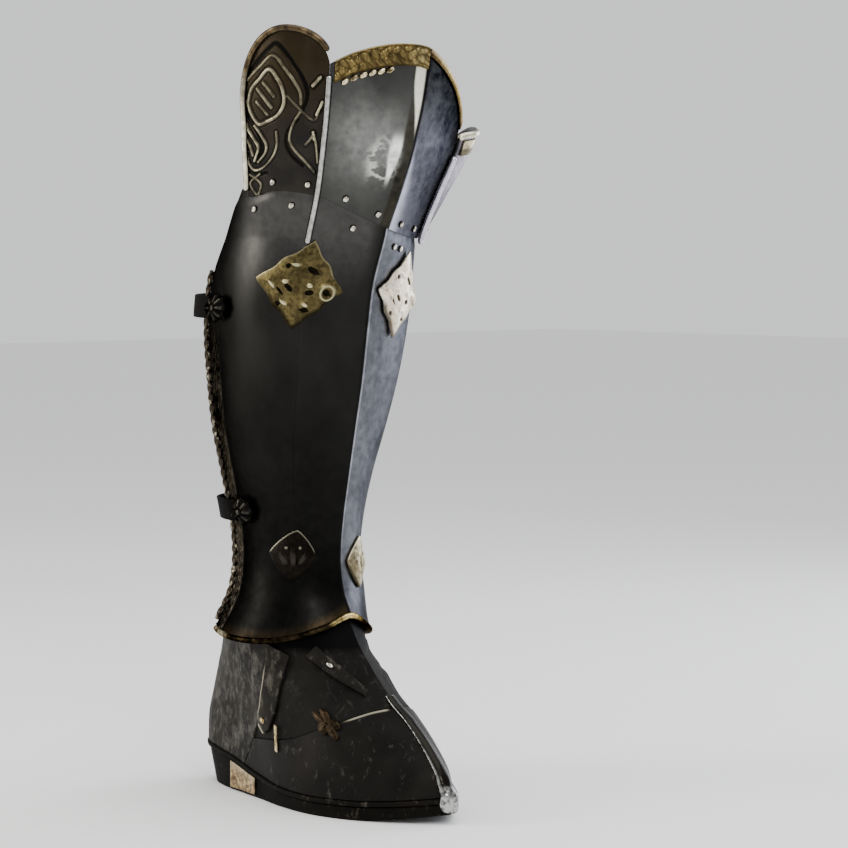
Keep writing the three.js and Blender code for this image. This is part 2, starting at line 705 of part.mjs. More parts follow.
// Shin: a keeled front plate and two side plates that meet it at the join lines
function buildShin() {
  const stops = (turn) => {
    const top = shinTop(turn);
    const last = Math.min(seam(turn) - SEAM_OVERLAP / 2, top - SEAM_OVERLAP);
    const rows = SHIN_ROWS.map((share) => lerp(hem(turn), last, share));
    return [...rows, Math.min(seam(turn), (last + top) / 2), top];
  };
  const shared = { surface: shinSurface, stops, thickness: STEEL_WALL };
  const butt = turnsFor(legPoint, JOIN_TURN, HEM_HEIGHT, BUTT_GAP);
  const front = { ...shared, from: () => -JOIN_TURN, to: () => JOIN_TURN, columns: 12 };
  add("shin_front", sheet(front), STEEL);
  for (const { name, sign } of SIDES) {
    const from = () => sign * (JOIN_TURN + butt);
    add(`shin_${name}`, sheet({ ...shared, from, to: () => sign * BACK_TURN, columns: 10 }), STEEL);
  }
}

// Knee: the front plate with the crest, and the two wings
function buildKnee() {
  const butt = turnsFor(legPoint, JOIN_TURN, SEAM_HEIGHT, BUTT_GAP);
  const front = { surface: kneeSurface, stops: evenly(seam, kneeTop, 7), thickness: STEEL_WALL };
  const span = { from: () => -JOIN_TURN, to: () => JOIN_TURN, columns: 12 };
  add("knee_front", sheet({ ...front, ...span }), STEEL);
  for (const { name, sign } of SIDES) {
    const wing = WINGS[name];
    const span = { from: () => sign * (JOIN_TURN + butt), to: () => sign * WING_TURN, columns: 9 };
    const stops = evenly(seam, (turn) => lobeTop(wing, turn), 8);
    const finish = name === "outer" ? BRONZE : STEEL;
    const plate = sheet({ surface: wingSurface, stops, thickness: STEEL_WALL, ...span });
    add(`knee_wing_${name}`, plate, finish);
  }
}

// Ribs cover the joints between knee plate and wings and run on down to the upper mounts
function buildRibs() {
  const foot = UPPER_MOUNT_HEIGHT + UPPER_MOUNT_TALL / 2 + 1;
  for (const { name, sign } of SIDES) {
    const turn = sign * JOIN_TURN;
    const wing = WINGS[name];
    const top = Math.min(kneeTop(turn), wing.peak - wing.front) - RIB_RADIUS;
    const place = (s) => ({ turn, height: lerp(foot, top, s) });
    const path = surfacePath(kneeSurface, place, RIB_RADIUS + SEAT_GAP);
    add(`rib_${name}`, bar({ path, steps: 12, sides: 7, radius: RIB_RADIUS }), BRIGHT);
  }
}

// Place moved aside of a path on a surface
function aside(surface, place, distance) {
  return (s) => {
    const { turn, height } = place(s);
    const ahead = place(Math.min(s + 0.01, 1));
    const behind = place(Math.max(s - 0.01, 0));
    const perTurn = 1 / turnsFor(surface, turn, height, 1);
    const run = new THREE.Vector2((ahead.turn - behind.turn) * perTurn, ahead.height - behind.height);
    run.normalize();
    return { turn: turn - (run.y * distance) / perTurn, height: height + run.x * distance };
  };
}

// Edge of a wing, over its lobe and down its back to the seam
function wingEdge(sign, wing) {
  const front = LOBE_TURN - JOIN_TURN;
  const clear = turnsFor(legPoint, JOIN_TURN, SEAM_HEIGHT, RIB_RADIUS + RIM_RADIUS + TRIM_GAP);
  const start = Math.acos(clear / front - 1);
  return (s) => {
    const over = Math.min(s / RIM_TOP_SHARE, 1);
    const down = Math.max((s - RIM_TOP_SHARE) / (1 - RIM_TOP_SHARE), 0);
    const u = Math.cos(lerp(start, 0, over));
    const turn = sign * (LOBE_TURN + u * (u < 0 ? front : WING_TURN - LOBE_TURN));
    const drop = (u < 0 ? wing.front : wing.back) * (1 - Math.sin(lerp(start, 0, over)));
    return { turn, height: lerp(wing.peak - drop, seam(turn) + 2 * RIM_RADIUS, down) };
  };
}

// Rims rolled outwards along the tops and back edges of the wings
function buildRims() {
  for (const { name, sign } of SIDES) {
    const edge = wingEdge(sign, WINGS[name]);
    const place = aside(wingSurface, edge, sign * (RIM_RADIUS + BUTT_GAP));
    const path = surfacePath(wingSurface, place, RIM_RADIUS - STEEL_WALL);
    add(`rim_wing_${name}`, bar({ path, steps: 24, sides: 6, radius: RIM_RADIUS }), BRONZE);
  }
}

// Brass bands along the top edges, and the row of beads under the outer one
function buildBands() {
  const rib = turnsFor(legPoint, JOIN_TURN, SEAM_HEIGHT, RIB_RADIUS + 2 * SEAT_GAP);
  const shared = { surface: kneeSurface, outer: TRIM_GAP + TRIM_SHEET, thickness: TRIM_SHEET };
  const band = (width) => evenly((turn) => kneeTop(turn) - width, kneeTop, 1);
  const outer = { from: () => -JOIN_TURN + rib, to: () => -CREST_MARGIN, columns: 8 };
  const inner = { from: () => CREST_MARGIN, to: () => JOIN_TURN - rib, columns: 8 };
  add("band_front_outer", sheet({ ...shared, ...outer, stops: band(FRONT_BAND) }), BRASS);
  add("band_front_inner", sheet({ ...shared, ...inner, stops: band(EDGE_BAND) }), BRASS);
  const wing = { surface: wingSurface, outer: TRIM_GAP + TRIM_SHEET, thickness: TRIM_SHEET };
  const under = (turn) => innerTop(turn) - RIM_RADIUS;
  const stops = evenly((turn) => under(turn) - WING_BAND, under, 1);
  const span = { from: () => JOIN_TURN + rib + 2, to: () => WING_TURN - 2, columns: 10 };
  add("band_wing_inner", sheet({ ...wing, ...span, stops }), BRASS);

  const beadHeight = (turn) => kneeTop(turn) - FRONT_BAND - BUTT_GAP - BEAD_RADIUS;
  const strip = (turn) => [beadHeight(turn) - 1.2, beadHeight(turn) + 1.2];
  const strung = { from: () => BEADS_FROM, to: () => BEADS_TO, columns: BEAD_COUNT, stops: strip };
  const beads = [sheet({ ...shared, ...strung })];
  for (let k = 0; k < BEAD_COUNT; k++) {
    const turn = lerp(BEADS_FROM, BEADS_TO, (k + 0.5) / BEAD_COUNT);
    const bead = new THREE.SphereGeometry(BEAD_RADIUS, 7, 4);
    const point = raised(kneeSurface, turn, beadHeight(turn), TRIM_GAP + BEAD_RADIUS);
    beads.push(bead.translate(point.x, point.y, point.z));
  }
  add("bead_row", fuse(beads), BRIGHT);
}

// Diamond mounts on the outer join line and on the inner flank
function buildMounts() {
  const sizes = {
    upper: [UPPER_MOUNT_HEIGHT, UPPER_MOUNT_WIDTH, UPPER_MOUNT_TALL, BRASS],
    lower: [LOWER_MOUNT_HEIGHT, LOWER_MOUNT_WIDTH, LOWER_MOUNT_TALL, BRONZE],
  };
  for (const [place, [height, width, tall, finish]] of Object.entries(sizes)) {
    for (const { name, sign } of SIDES) {
      const half = (width / 2) * (sign < 0 ? 1 : INNER_MOUNT_SHARE);
      const plate = boss({
        surface: legPoint,
        turn: sign < 0 ? -JOIN_TURN : INNER_MOUNT_TURN,
        height: sign < 0 ? height : height - INNER_MOUNT_DROP,
        outline: diamond(half, tall / 2, radians(MOUNT_TILT)),
        lift: sign > 0 && place === "upper" ? MOUNT_SEAT : TRIM_GAP,
        edge: MOUNT_EDGE,
        crown: MOUNT_CROWN,
        rings: 3,
        segments: 24,
      });
      add(`mount_${place}_${name}`, plate, finish);
    }
  }
}

// Rolled back edges, laid like a rope, and the roll under the hem
function buildEdges() {
  const clear = ROPE_RADIUS + BUTT_GAP;
  for (const { name, sign } of SIDES) {
    const place = (s) => {
      const low = hem(sign * BACK_TURN) + clear;
      const height = lerp(low, shinTop(sign * BACK_TURN) - clear, s);
      return { turn: sign * (BACK_TURN + turnsFor(legPoint, BACK_TURN, height, clear)), height };
    };
    const path = surfacePath(legPoint, place, ROPE_RADIUS - STEEL_WALL);
    const rope = { steps: 36, sides: 5, radius: ROPE_RADIUS, flat: ROPE_FLAT, lay: ROPE_LAY };
    add(`edge_roll_${name}`, bar({ path, ...rope }), BRONZE);
  }
  const under = HEM_ROLL_RADIUS + BUTT_GAP;
  const place = (s) => {
    const turn = lerp(-BACK_TURN, BACK_TURN, s);
    return { turn, height: hem(turn) - under };
  };
  const path = surfacePath(legPoint, place, -STEEL_WALL / 2);
  add("hem_roll", bar({ path, steps: 30, sides: 6, radius: HEM_ROLL_RADIUS }), BRASS);
}

// Rivets along both sides of the knee seam
function buildRivets() {
  const head = [
    [0, 0],
    [RIVET_RADIUS, 0],
    [RIVET_RADIUS * 0.8, RIVET_HEIGHT * 0.75],
    [0, RIVET_HEIGHT],
  ];
  const rows = [
    { name: "knee", turns: KNEE_RIVETS, up: RIVET_INSET },
    { name: "shin", turns: SHIN_RIVETS, up: -SEAM_OVERLAP / 2 - RIVET_INSET / 2 },
  ];
  for (const { name, turns, up } of rows) {
    const onWing = (turn) => name === "knee" && Math.abs(turn) > JOIN_TURN;
    turns.forEach((turn, k) => {
      const plate = name === "knee" ? kneeSurface : legPoint;
      const surface = onWing(turn) ? wingSurface : plate;
      const lift = onWing(turn) ? TRIM_GAP / 2 : TRIM_GAP;
      const rivet = stud(surface, turn, seam(turn) + up, lift, head, 6);
      add(`rivet_${name}_${k + 1}`, rivet, BRIGHT);
    });
  }
}

// Turn folded to the near side, for what runs round the back
const fold = (turn) => Math.min(Math.abs(turn), FULL_TURN - Math.abs(turn));

// The straps rise over the rolled back edges.
function strapLift(turn) {
  const over = 2 * ROPE_RADIUS - STEEL_WALL;
  return STRAP_SEAT + over * smooth(BACK_TURN - 16, BACK_TURN - 6, fold(turn));
}

// Straps across the open back, with a rosette over the outer end and a buckle over the inner one
function buildStraps() {
  const under = (turn, height) => raised(legPoint, turn, height, strapLift(turn));
  const over = (turn, height) => raised(under, turn, height, STRAP_THICKNESS);
  const levels = {
    upper: [UPPER_STRAP_HEIGHT, UPPER_ROSETTE_RADIUS, UPPER_ROSETTE_TURN],
    lower: [LOWER_STRAP_HEIGHT, LOWER_ROSETTE_RADIUS, LOWER_ROSETTE_TURN],
  };
  for (const [name, [height, radius, rosetteTurn]] of Object.entries(levels)) {
    const half = STRAP_WIDTH / 2;
    const start = -rosetteTurn + turnsFor(legPoint, rosetteTurn, height, radius * 0.6);
    const end = BUCKLE_TURN - FULL_TURN - turnsFor(legPoint, BUCKLE_TURN, height, BUCKLE_SPAN);
    const stops = () => [height - half, height + half];
    const span = { from: () => start, to: () => end, columns: 24, stops };
    const strap = sheet({ surface: under, outer: STRAP_THICKNESS, thickness: STRAP_THICKNESS, ...span });
    add(`strap_${name}`, strap, BLACK_LEATHER);
    const rosette = boss({
      surface: over,
      turn: -rosetteTurn,
      height,
      outline: (angle) => radius * (1 + 0.05 * Math.cos(8 * angle)),
      lift: TRIM_GAP,
      edge: MOUNT_EDGE,
      crown: ROSETTE_DOME,
      rings: 2,
      segments: 16,
    });
    add(`rosette_${name}`, rosette, BRONZE);
    add(`buckle_${name}`, buckle(over, BUCKLE_TURN - FULL_TURN, height), BRIGHT);
  }
}

// Buckle frame lying on its strap, with its prong fused across it
function buckle(surface, turn, height) {
  const tall = STRAP_WIDTH / 2 + BUCKLE_WIRE;
  const perTurn = 1 / turnsFor(surface, turn, height, 1);
  const ring = (offset) => (s, t) => {
    const angle = s * Math.PI * 2;
    const grow = t * BUCKLE_WIRE;
    const square = (value) => Math.sign(value) * Math.pow(Math.abs(value), 0.5);
    const along = square(Math.cos(angle)) * (BUCKLE_SPAN / 2 - BUCKLE_WIRE + grow);
    const up = square(Math.sin(angle)) * (tall - BUCKLE_WIRE + grow);
    return raised(surface, turn + along / perTurn, height + up, offset);
  };
  const low = TRIM_GAP;
  const top = low + BUCKLE_WIRE * 0.7;
  const frame = wall(12, 1, ring(top), ring(low), true);
  const reach = (BUCKLE_SPAN / 2 - 1) / perTurn;
  const prong = sheet({
    surface,
    from: () => turn - reach,
    to: () => turn + reach,
    stops: () => [height - BUCKLE_WIRE / 2, height + BUCKLE_WIRE / 2],
    outer: top - 0.4,
    thickness: top - low - 0.6,
    columns: 2,
  });
  return fuse([frame, prong]);
}

// Front edge of the boot's quarter: a turn at a height
const quarterEdge = (height) =>
  QUARTER_TURN - (QUARTER_LEAN_TURN * (height - HEEL_SOLE)) / (FOOT_TOP - HEEL_SOLE);
const quarterGap = BUTT_GAP / 2;

// Boot uppers: quarter round the heel, vamp over the instep, toe cap, and the shaft inside the greave
function buildUppers() {
  const onSole = (turn) => soleTop(turn) + SEAT_GAP;
  const middle = ANKLE_HEIGHT / 2;
  const thickness = LEATHER;
  const front = {
    from: (height) => -quarterEdge(height) + quarterGap,
    to: (height) => quarterEdge(height) - quarterGap,
    middle,
    thickness,
    lift: spread,
  };
  const back = {
    from: (height) => quarterEdge(height) + quarterGap,
    to: (height) => FULL_TURN - quarterEdge(height) - quarterGap,
    middle,
    thickness,
    lift: spread,
  };
  const overCap = (turn) => capEdge(turn) + BUTT_GAP;
  const vamp = { ...front, stops: evenly(overCap, () => FOOT_TOP, 6), columns: 18 };
  add("boot_vamp", sheet({ surface: bootPoint, ...vamp }), BLACK_LEATHER);
  const cap = { ...front, stops: evenly(onSole, capEdge, 4), columns: 24 };
  add("toe_cap", sheet({ surface: bootPoint, outer: CAP_PROUD, ...cap }), BLACK_LEATHER);
  const quarter = { ...back, stops: evenly(onSole, () => FOOT_TOP, 6), columns: 14 };
  add("boot_quarter", sheet({ surface: bootPoint, outer: QUARTER_PROUD, ...quarter }), GREY_LEATHER);

  const rows = SHAFT_ROWS.length - 1;
  const layer = (offset) => (s, t) => {
    const height = lerp(FOOT_TOP + BUTT_GAP, SHAFT_TOP, SHAFT_ROWS[Math.round(t * rows)]);
    return spread(legPoint, (s - 0.5) * FULL_TURN, height, -BOOT_INSET - offset);
  };
  add("boot_shaft", wall(20, rows, layer(0), layer(LEATHER), true), BLACK_LEATHER);
}

// Outline of the foot at the level of the sole, carried up or down to any height
const soleOutline = (turn, height) => bootPoint(turn, ANKLE_HEIGHT * FOOT_LEVELS[0].rise).setZ(height);

// Sole, the welt on it, and the brass plate on the outer side of its heel
function buildSole() {
  const under = (turn) => soleTop(turn) - WELT_THICKNESS;
  const level = (turn, s, height, ledge = SOLE_LEDGE) => {
    const edge = raised(soleOutline, turn, height, ledge);
    return edge.setX(lerp(-edge.x, edge.x, s));
  };
  const at = (t) => lerp(SOLE_END_TURN, 180 - SOLE_END_TURN, t);
  const top = (s, t) => level(at(t), s, under(at(t)) - SEAT_GAP);
  const bottom = (s, t) => {
    const cut = HEEL_UNDERCUT * smooth(0.75, 1, bootStation(at(t)));
    return level(at(t), s, soleBottom(at(t)), SOLE_LEDGE - cut);
  };
  add("sole", wall(1, 24, top, bottom), SOLE_LEATHER);

  const ring = (drop) => (s, t) => {
    const turn = (s - 0.5) * FULL_TURN;
    return raised(soleOutline, turn, soleTop(turn) - drop, lerp(-2 * LEATHER, WELT_LEDGE, t));
  };
  add("welt", wall(36, 1, ring(0), ring(WELT_THICKNESS), true), SOLE_LEATHER);

  const plate = {
    surface: soleOutline,
    from: () => -HEEL_PLATE_TO,
    to: () => -HEEL_PLATE_FROM,
    stops: evenly(() => TRIM_SHEET * 2, (turn) => under(turn) - 2 * SEAT_GAP, 1),
    outer: SOLE_LEDGE + SEAT_GAP + TRIM_SHEET,
    thickness: TRIM_SHEET,
    columns: 6,
  };
  add("heel_plate", sheet(plate), BRASS);
}

// Turn at which the boot's outline lies a length aside of the ridge
function bootTurn(aside, height) {
  let low = 0;
  let high = 60;
  for (let k = 0; k < 24; k++) {
    const middle = (low + high) / 2;
    if (Math.abs(bootPoint(middle, height).x) < Math.abs(aside)) low = middle;
    else high = middle;
  }
  return Math.sign(aside) * low;
}

// Steel strip over the ridge of the toe, widening down to the tip, where it stands clear of the welt
function buildSpine() {
  const layer = (offset) => (s, t) => {
    const height = lerp(SPINE_FOOT, capEdge(0) + SPINE_WIDTH / 2, t);
    const width = SPINE_WIDTH * lerp(1, 0.3, Math.sqrt(t));
    const turn = bootTurn((s - 0.5) * width, height);
    const over = smooth(soleTop(0) + 1, soleTop(0) + 12, height);
    const low = spread(soleOutline, turn, height, WELT_LEDGE + TRIM_GAP + offset);
    return low.lerp(spread(bootPoint, turn, height, CAP_PROUD + TRIM_GAP + offset), over);
  };
  add("toe_spine", wall(4, 10, layer(SPINE_THICKNESS), layer(0)), BRIGHT);
}

// Straps and ornaments of the boot
function buildBootTrim() {
  const capSurface = (turn, height) => spread(bootPoint, turn, height, CAP_PROUD);
  const quarterSurface = (turn, height) => spread(bootPoint, turn, height, QUARTER_PROUD);
  const head = [
    [0, 0],
    [RIVET_RADIUS, 0],
    [RIVET_RADIUS * 0.8, RIVET_HEIGHT],
    [0, RIVET_HEIGHT * 1.2],
  ];
  const sheetOn = { lift: STRAP_SEAT, thickness: LEATHER * 0.8 };
  const onStrap = STRAP_SEAT + SEAT_GAP + LEATHER * 0.8;
  for (const { name, sign } of SIDES) {
    const place = (s) => {
      const height = lerp(BOOT_STRAP_LOW, BOOT_STRAP_HIGH, s);
      const aside = turnsFor(bootPoint, QUARTER_TURN, height, BOOT_STRAP_WIDTH / 2 + 2);
      return { turn: sign * (quarterEdge(height) - aside), height };
    };
    const width = (t) => BOOT_STRAP_WIDTH * Math.min(1, 0.45 + 5 * t);
    const strap = ribbon({ surface: bootPoint, place, width, ...sheetOn, rows: 6 });
    add(`boot_strap_${name}`, strap, BLACK_LEATHER);
    const tip = place(0.12);
    add(`boot_rivet_${name}`, stud(bootPoint, tip.turn, tip.height, onStrap, head, 8), BRASS);
  }
  const instep = (s) => ({ turn: lerp(-20, -44, s), height: lerp(CAP_PEAK + 8, ANKLE_HEIGHT, s) });
  const narrow = (t) => BOOT_STRAP_WIDTH * lerp(0.4, 0.8, Math.min(1, 2 * t));
  const strip = ribbon({ surface: bootPoint, place: instep, width: narrow, ...sheetOn, rows: 6 });
  add("instep_strap", strip, BLACK_LEATHER);
  const pin = instep(0.62);
  add("instep_rivet", stud(bootPoint, pin.turn, pin.height, onStrap, head, 8), BRIGHT);

  const leaf = boss({
    surface: capSurface,
    turn: -57,
    height: capEdge(57) + 1,
    outline: (angle) => (ORNAMENT_SIZE / 2) * (0.5 + 0.35 * Math.abs(Math.cos(2.5 * angle))),
    lift: TRIM_GAP,
    edge: TRIM_SHEET,
    crown: 1,
    rings: 1,
    segments: 20,
  });
  add("leaf_ornament", leaf, BRONZE);
  const tick = (s) => ({ turn: lerp(-89, -86, s), height: lerp(capEdge(91) - 8, capEdge(91) + 12, s) });
  const bar = { surface: capSurface, place: tick, width: () => 3, lift: TRIM_GAP, thickness: TRIM_SHEET };
  add("gilt_bar", ribbon({ ...bar, columns: 1, rows: 3 }), BRASS);
  const ankle = boss({
    surface: quarterSurface,
    turn: 128,
    height: ANKLE_HEIGHT - 18,
    outline: (angle) => {
      const oval = Math.hypot(Math.cos(angle), 1.9 * Math.sin(angle));
      return (ORNAMENT_SIZE * 0.8 * (1 + 0.08 * Math.cos(6 * angle))) / oval;
    },
    lift: TRIM_GAP,
    edge: TRIM_SHEET,
    crown: 1.6,
    rings: 2,
    segments: 20,
  });
  add("ankle_ornament", ankle, BRONZE);
}

buildShin();
buildKnee();
buildRibs();
buildRims();
buildBands();
buildMounts();
buildEdges();
buildRivets();
buildStraps();
buildUppers();
buildSole();
buildSpine();
buildBootTrim();

export default greave;
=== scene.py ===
# Looks of a right-leg greave on its armoured boot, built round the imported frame.
# Sizes are in millimetres until a piece's mesh is placed. The toe points to -Y, the leg's outer side is -X.
import math

import bmesh
import bpy
import numpy as np
from mathutils import Matrix, Vector

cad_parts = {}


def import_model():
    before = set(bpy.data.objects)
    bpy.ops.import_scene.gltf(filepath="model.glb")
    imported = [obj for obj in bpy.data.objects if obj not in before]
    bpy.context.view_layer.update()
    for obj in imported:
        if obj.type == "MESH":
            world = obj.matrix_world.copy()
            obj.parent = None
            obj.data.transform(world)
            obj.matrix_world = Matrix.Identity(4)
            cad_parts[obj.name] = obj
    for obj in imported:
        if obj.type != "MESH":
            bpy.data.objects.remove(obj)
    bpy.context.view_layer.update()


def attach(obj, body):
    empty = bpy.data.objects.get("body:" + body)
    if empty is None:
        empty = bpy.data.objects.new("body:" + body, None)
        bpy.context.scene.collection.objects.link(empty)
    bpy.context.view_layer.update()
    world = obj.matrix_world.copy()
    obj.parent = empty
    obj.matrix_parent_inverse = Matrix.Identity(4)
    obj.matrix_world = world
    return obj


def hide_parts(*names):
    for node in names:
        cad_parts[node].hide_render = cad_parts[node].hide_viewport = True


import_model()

MM = 0.001


# Camera: a long lens a little above the floor, standing to the outer side of the leg's front.
CAMERA_PLACE = (-1.4033, -1.7359, 0.4337)
CAMERA_TURN = math.radians(-41.5)
CAMERA_DIP = math.radians(3.6)
CAMERA_LENS, CAMERA_SENSOR, CAMERA_SIGHT = 119.55, 36, 60

camera = bpy.data.objects.new("camera", bpy.data.cameras.new("camera"))
bpy.context.scene.collection.objects.link(camera)
camera.data.sensor_width = CAMERA_SENSOR
camera.data.lens = CAMERA_LENS
camera.data.clip_end = CAMERA_SIGHT
camera.location = CAMERA_PLACE
sight = Vector((
    -math.sin(CAMERA_TURN) * math.cos(CAMERA_DIP),
    math.cos(CAMERA_TURN) * math.cos(CAMERA_DIP),
    -math.sin(CAMERA_DIP),
))
camera.rotation_mode = "QUATERNION"
camera.rotation_quaternion = sight.to_track_quat("-Z", "Y")
bpy.context.scene.camera = camera


# Studio: a pale floor, a pale surround, and soft lights. The tall cool light on the right is what the
# inner flanks mirror; the low one by the camera is what the knee plate mirrors.
FLOOR_COLOUR = (0.88, 0.878, 0.87, 1)
SURROUND = (0.93, 0.94, 0.96, 1)
FLOOR_REACH, FLOOR_ROUGHNESS = 9, 0.9


def soft_light(name, place, aim, size, power, colour=(1, 1, 1)):
    """A rectangular soft light that looks at a point."""
    light = bpy.data.objects.new(name, bpy.data.lights.new(name, "AREA"))
    light.data.shape = "RECTANGLE"
    light.data.size, light.data.size_y = size
    light.data.energy = power
    light.data.color = colour
    light.location = place
    light.rotation_mode = "QUATERNION"
    light.rotation_quaternion = (Vector(aim) - Vector(place)).to_track_quat("-Z", "Y")
    bpy.context.scene.collection.objects.link(light)


def as_mesh(name, bm):
    mesh = bpy.data.meshes.new(name)
    bm.to_mesh(mesh)
    bm.free()
    return mesh


bm = bmesh.new()
bmesh.ops.create_grid(bm, x_segments=8, y_segments=8, size=FLOOR_REACH)
floor_mesh = as_mesh("floor", bm)
floor = bpy.data.objects.new("floor", floor_mesh)
bpy.context.scene.collection.objects.link(floor)
floor_finish = bpy.data.materials.new("pale_floor")
floor_finish.use_nodes = True
floor_shader = floor_finish.node_tree.nodes["Principled BSDF"]
floor_shader.inputs["Base Color"].default_value = FLOOR_COLOUR
floor_shader.inputs["Roughness"].default_value = FLOOR_ROUGHNESS
floor_mesh.materials.append(floor_finish)

surround = bpy.data.worlds.new("surround")
surround.use_nodes = True
surround.node_tree.nodes["Background"].inputs["Color"].default_value = SURROUND
surround.node_tree.nodes["Background"].inputs["Strength"].default_value = 1.0
bpy.context.scene.world = surround

soft_light("right_light", (1.7, -0.25, 0.75), (0, 0, 0.35), (0.9, 1.5), 22, (0.88, 0.92, 1.0))
soft_light("knee_light", (-0.75, -1.55, 1.25), (0, -0.1, 0.5), (0.5, 0.5), 12, (1.0, 0.98, 0.95))
soft_light("back_light", (-1.5, 0.9, 0.9), (0, 0, 0.45), (0.5, 1.4), 22, (1.0, 0.96, 0.88))
soft_light("top_light", (0.2, -0.5, 2.0), (0, 0, 0.2), (1.6, 1.6), 24)


# Shin plates: blackened steel, a keeled front plate and two side plates, wrapped to the calf. They meet at
# two joins, where the greave turns from its flat front flanks to its round sides, and tuck under the knee.
HEM_HEIGHT, HEM_ARCH = 130, 20
SEAM_HEIGHT, SEAM_SLANT = 455, 36
PEAK_HEIGHT = 582
CALF_WIDTH, CALF_DEPTH = 158, 180
KNEE_WIDTH, KNEE_DEPTH = 190, 200
FLANK_BULGE = 3.5
JOIN_TURN, BACK_TURN, WING_TURN = 47, 111, 88
STEEL_WALL, SEAT_GAP, TRIM_GAP, BUTT_GAP = 1.8, 0.45, 0.7, 0.3
SEAM_OVERLAP, KNEE_PROUD, BACK_DROP = 14, 1.2, 52
KEEL_SOFTNESS, HAMMER_RISE = 1.3, 0.9

# rise from the hem, share of the knee's size, half width, half depth, centre, crest reach, sway
LEG = np.array([
    (-0.03, 0, 0.8, 0.82, 0.12, 0.9, -0.06),
    (0.0, 0, 0.77, 0.79, 0.1, 0.83, -0.05),
    (0.031, 0, 0.72, 0.745, 0.08, 0.765, -0.04),
    (0.065, 0, 0.67, 0.71, 0.06, 0.69, -0.02),
    (0.11, 0, 0.62, 0.675, 0.045, 0.605, 0),
    (0.185, 0, 0.582, 0.644, 0.044, 0.567, 0),
    (0.277, 0, 0.608, 0.678, 0.044, 0.6, 0),
    (0.385, 0, 0.696, 0.756, 0.04, 0.678, 0),
    (0.502, 0, 0.81, 0.856, 0.011, 0.767, 0),
    (0.615, 0, 0.885, 0.944, -0.033, 0.856, 0),
    (0.738, 0, 0.95, 0.99, -0.08, 0.93, 0),
    (0.846, 0, 0.965, 0.98, -0.14, 1.005, 0),
    (0.954, 0, 0.935, 0.933, -0.244, 1.156, 0),
    (1.157, 0.5, 0.908, 0.905, -0.368, 1.284, 0.01),
    (1.433, 1, 0.93, 0.92, -0.45, 1.37, 0.02),
    (1.709, 1, 0.99, 0.97, -0.51, 1.48, 0.03),
    (1.984, 1, 1.02, 1.0, -0.55, 1.55, 0.03),
    (2.2, 1, 1.03, 1.01, -0.57, 1.58, 0.03),
])
RISE = LEG[:, 0]
SECTIONS = LEG.copy()
SECTIONS[:, 0] = np.where(
    RISE < 1,
    HEM_HEIGHT + RISE * (SEAM_HEIGHT - HEM_HEIGHT),
    SEAM_HEIGHT + (RISE - 1) * (PEAK_HEIGHT - SEAM_HEIGHT),
)
HEM = [(-130, 0.6), (-105, 0.2), (-78, 0), (-48, 0.08), (-22, 0.5), (0, 0.95), (22, 0.5), (48, 0.05),
       (80, -0.2), (130, -0.1)]
SEAM = [(-130, 0.45), (-92, 0.44), (-70, 0.58), (-48, 0.48), (-24, 0.12), (0, -0.2), (24, -0.36),
        (48, -0.4), (92, -0.25), (130, -0.2)]


def through(rows, place):
    """Values at a place on smooth curves through rows, whose first column is the place."""
    rows = np.asarray(rows, float)
    x, y = rows[:, 0], rows[:, 1:]
    before = np.maximum(np.arange(len(x)) - 1, 0)
    after = np.minimum(np.arange(len(x)) + 1, len(x) - 1)
    slope = (y[after] - y[before]) / (x[after] - x[before])[:, None]
    at = np.clip(place, x[0], x[-1])
    i = np.clip(np.searchsorted(x, at) - 1, 0, len(x) - 2)
    span = (x[i + 1] - x[i])[..., None]
    s = (at - x[i])[..., None] / span
    return (
        (2 * s**3 - 3 * s**2 + 1) * y[i] + (s**3 - 2 * s**2 + s) * span * slope[i]
        + (3 * s**2 - 2 * s**3) * y[i + 1] + (s**3 - s**2) * span * slope[i + 1]
    )


def curve(rows, place):
    """The one value at a place on a smooth curve."""
    return through(rows, place)[..., 0]


def ease(low, high, at):
    """Smooth step from 0 at low to 1 at high."""
    s = np.clip((at - low) / (high - low), 0, 1)
    return s * s * (3 - 2 * s)


def fall(low, high, at):
    """Smooth step from 1 at low to 0 at high."""
    return 1 - ease(low, high, at)


def mix(a, b, share):
    return a + (b - a) * share


def hem(turn):
    return HEM_HEIGHT + HEM_ARCH * curve(HEM, turn)


def seam(turn):
    return SEAM_HEIGHT + SEAM_SLANT * curve(SEAM, turn)


def shin_top(turn):
    behind = np.clip((np.abs(turn) - WING_TURN) / (BACK_TURN - WING_TURN), 0, 1)
    return seam(turn) + mix(SEAM_OVERLAP, -BACK_DROP, behind**2)


def leg(turn, height):
    """Points of the greave's outer face: turn is 0 at the keel in front and -90 at the outer side."""
    turn, height = np.broadcast_arrays(np.asarray(turn, float), np.asarray(height, float))
    knee, width, depth, centre, crest, sway = np.moveaxis(through(SECTIONS, height), -1, 0)
    knee = np.clip(knee, 0, 1)
    half_width = mix(CALF_WIDTH, KNEE_WIDTH, knee) / 2
    half_depth = mix(CALF_DEPTH, KNEE_DEPTH, knee) / 2
    across, deep = half_width * width, half_depth * depth
    middle, reach = half_depth * centre, half_depth * crest
    angle, join = np.radians(np.abs(turn)), math.radians(JOIN_TURN)
    join_x, join_y = across * math.sin(join), middle - deep * math.cos(join)
    along = np.minimum(np.abs(turn) / JOIN_TURN, 1)
    chord = np.hypot(join_x, join_y + reach)
    bulge = FLANK_BULGE * 4 * along * (1 - along)
    round_side = np.abs(turn) >= JOIN_TURN
    x = np.where(round_side, across * np.sin(angle), join_x * along + bulge * (join_y + reach) / chord)
    y = np.where(
        round_side,
        middle - deep * np.cos(angle),
        -reach + (join_y + reach) * along - bulge * join_x / chord,
    )
    return np.stack([np.sign(turn) * x + half_width * sway * along, y, height], -1)


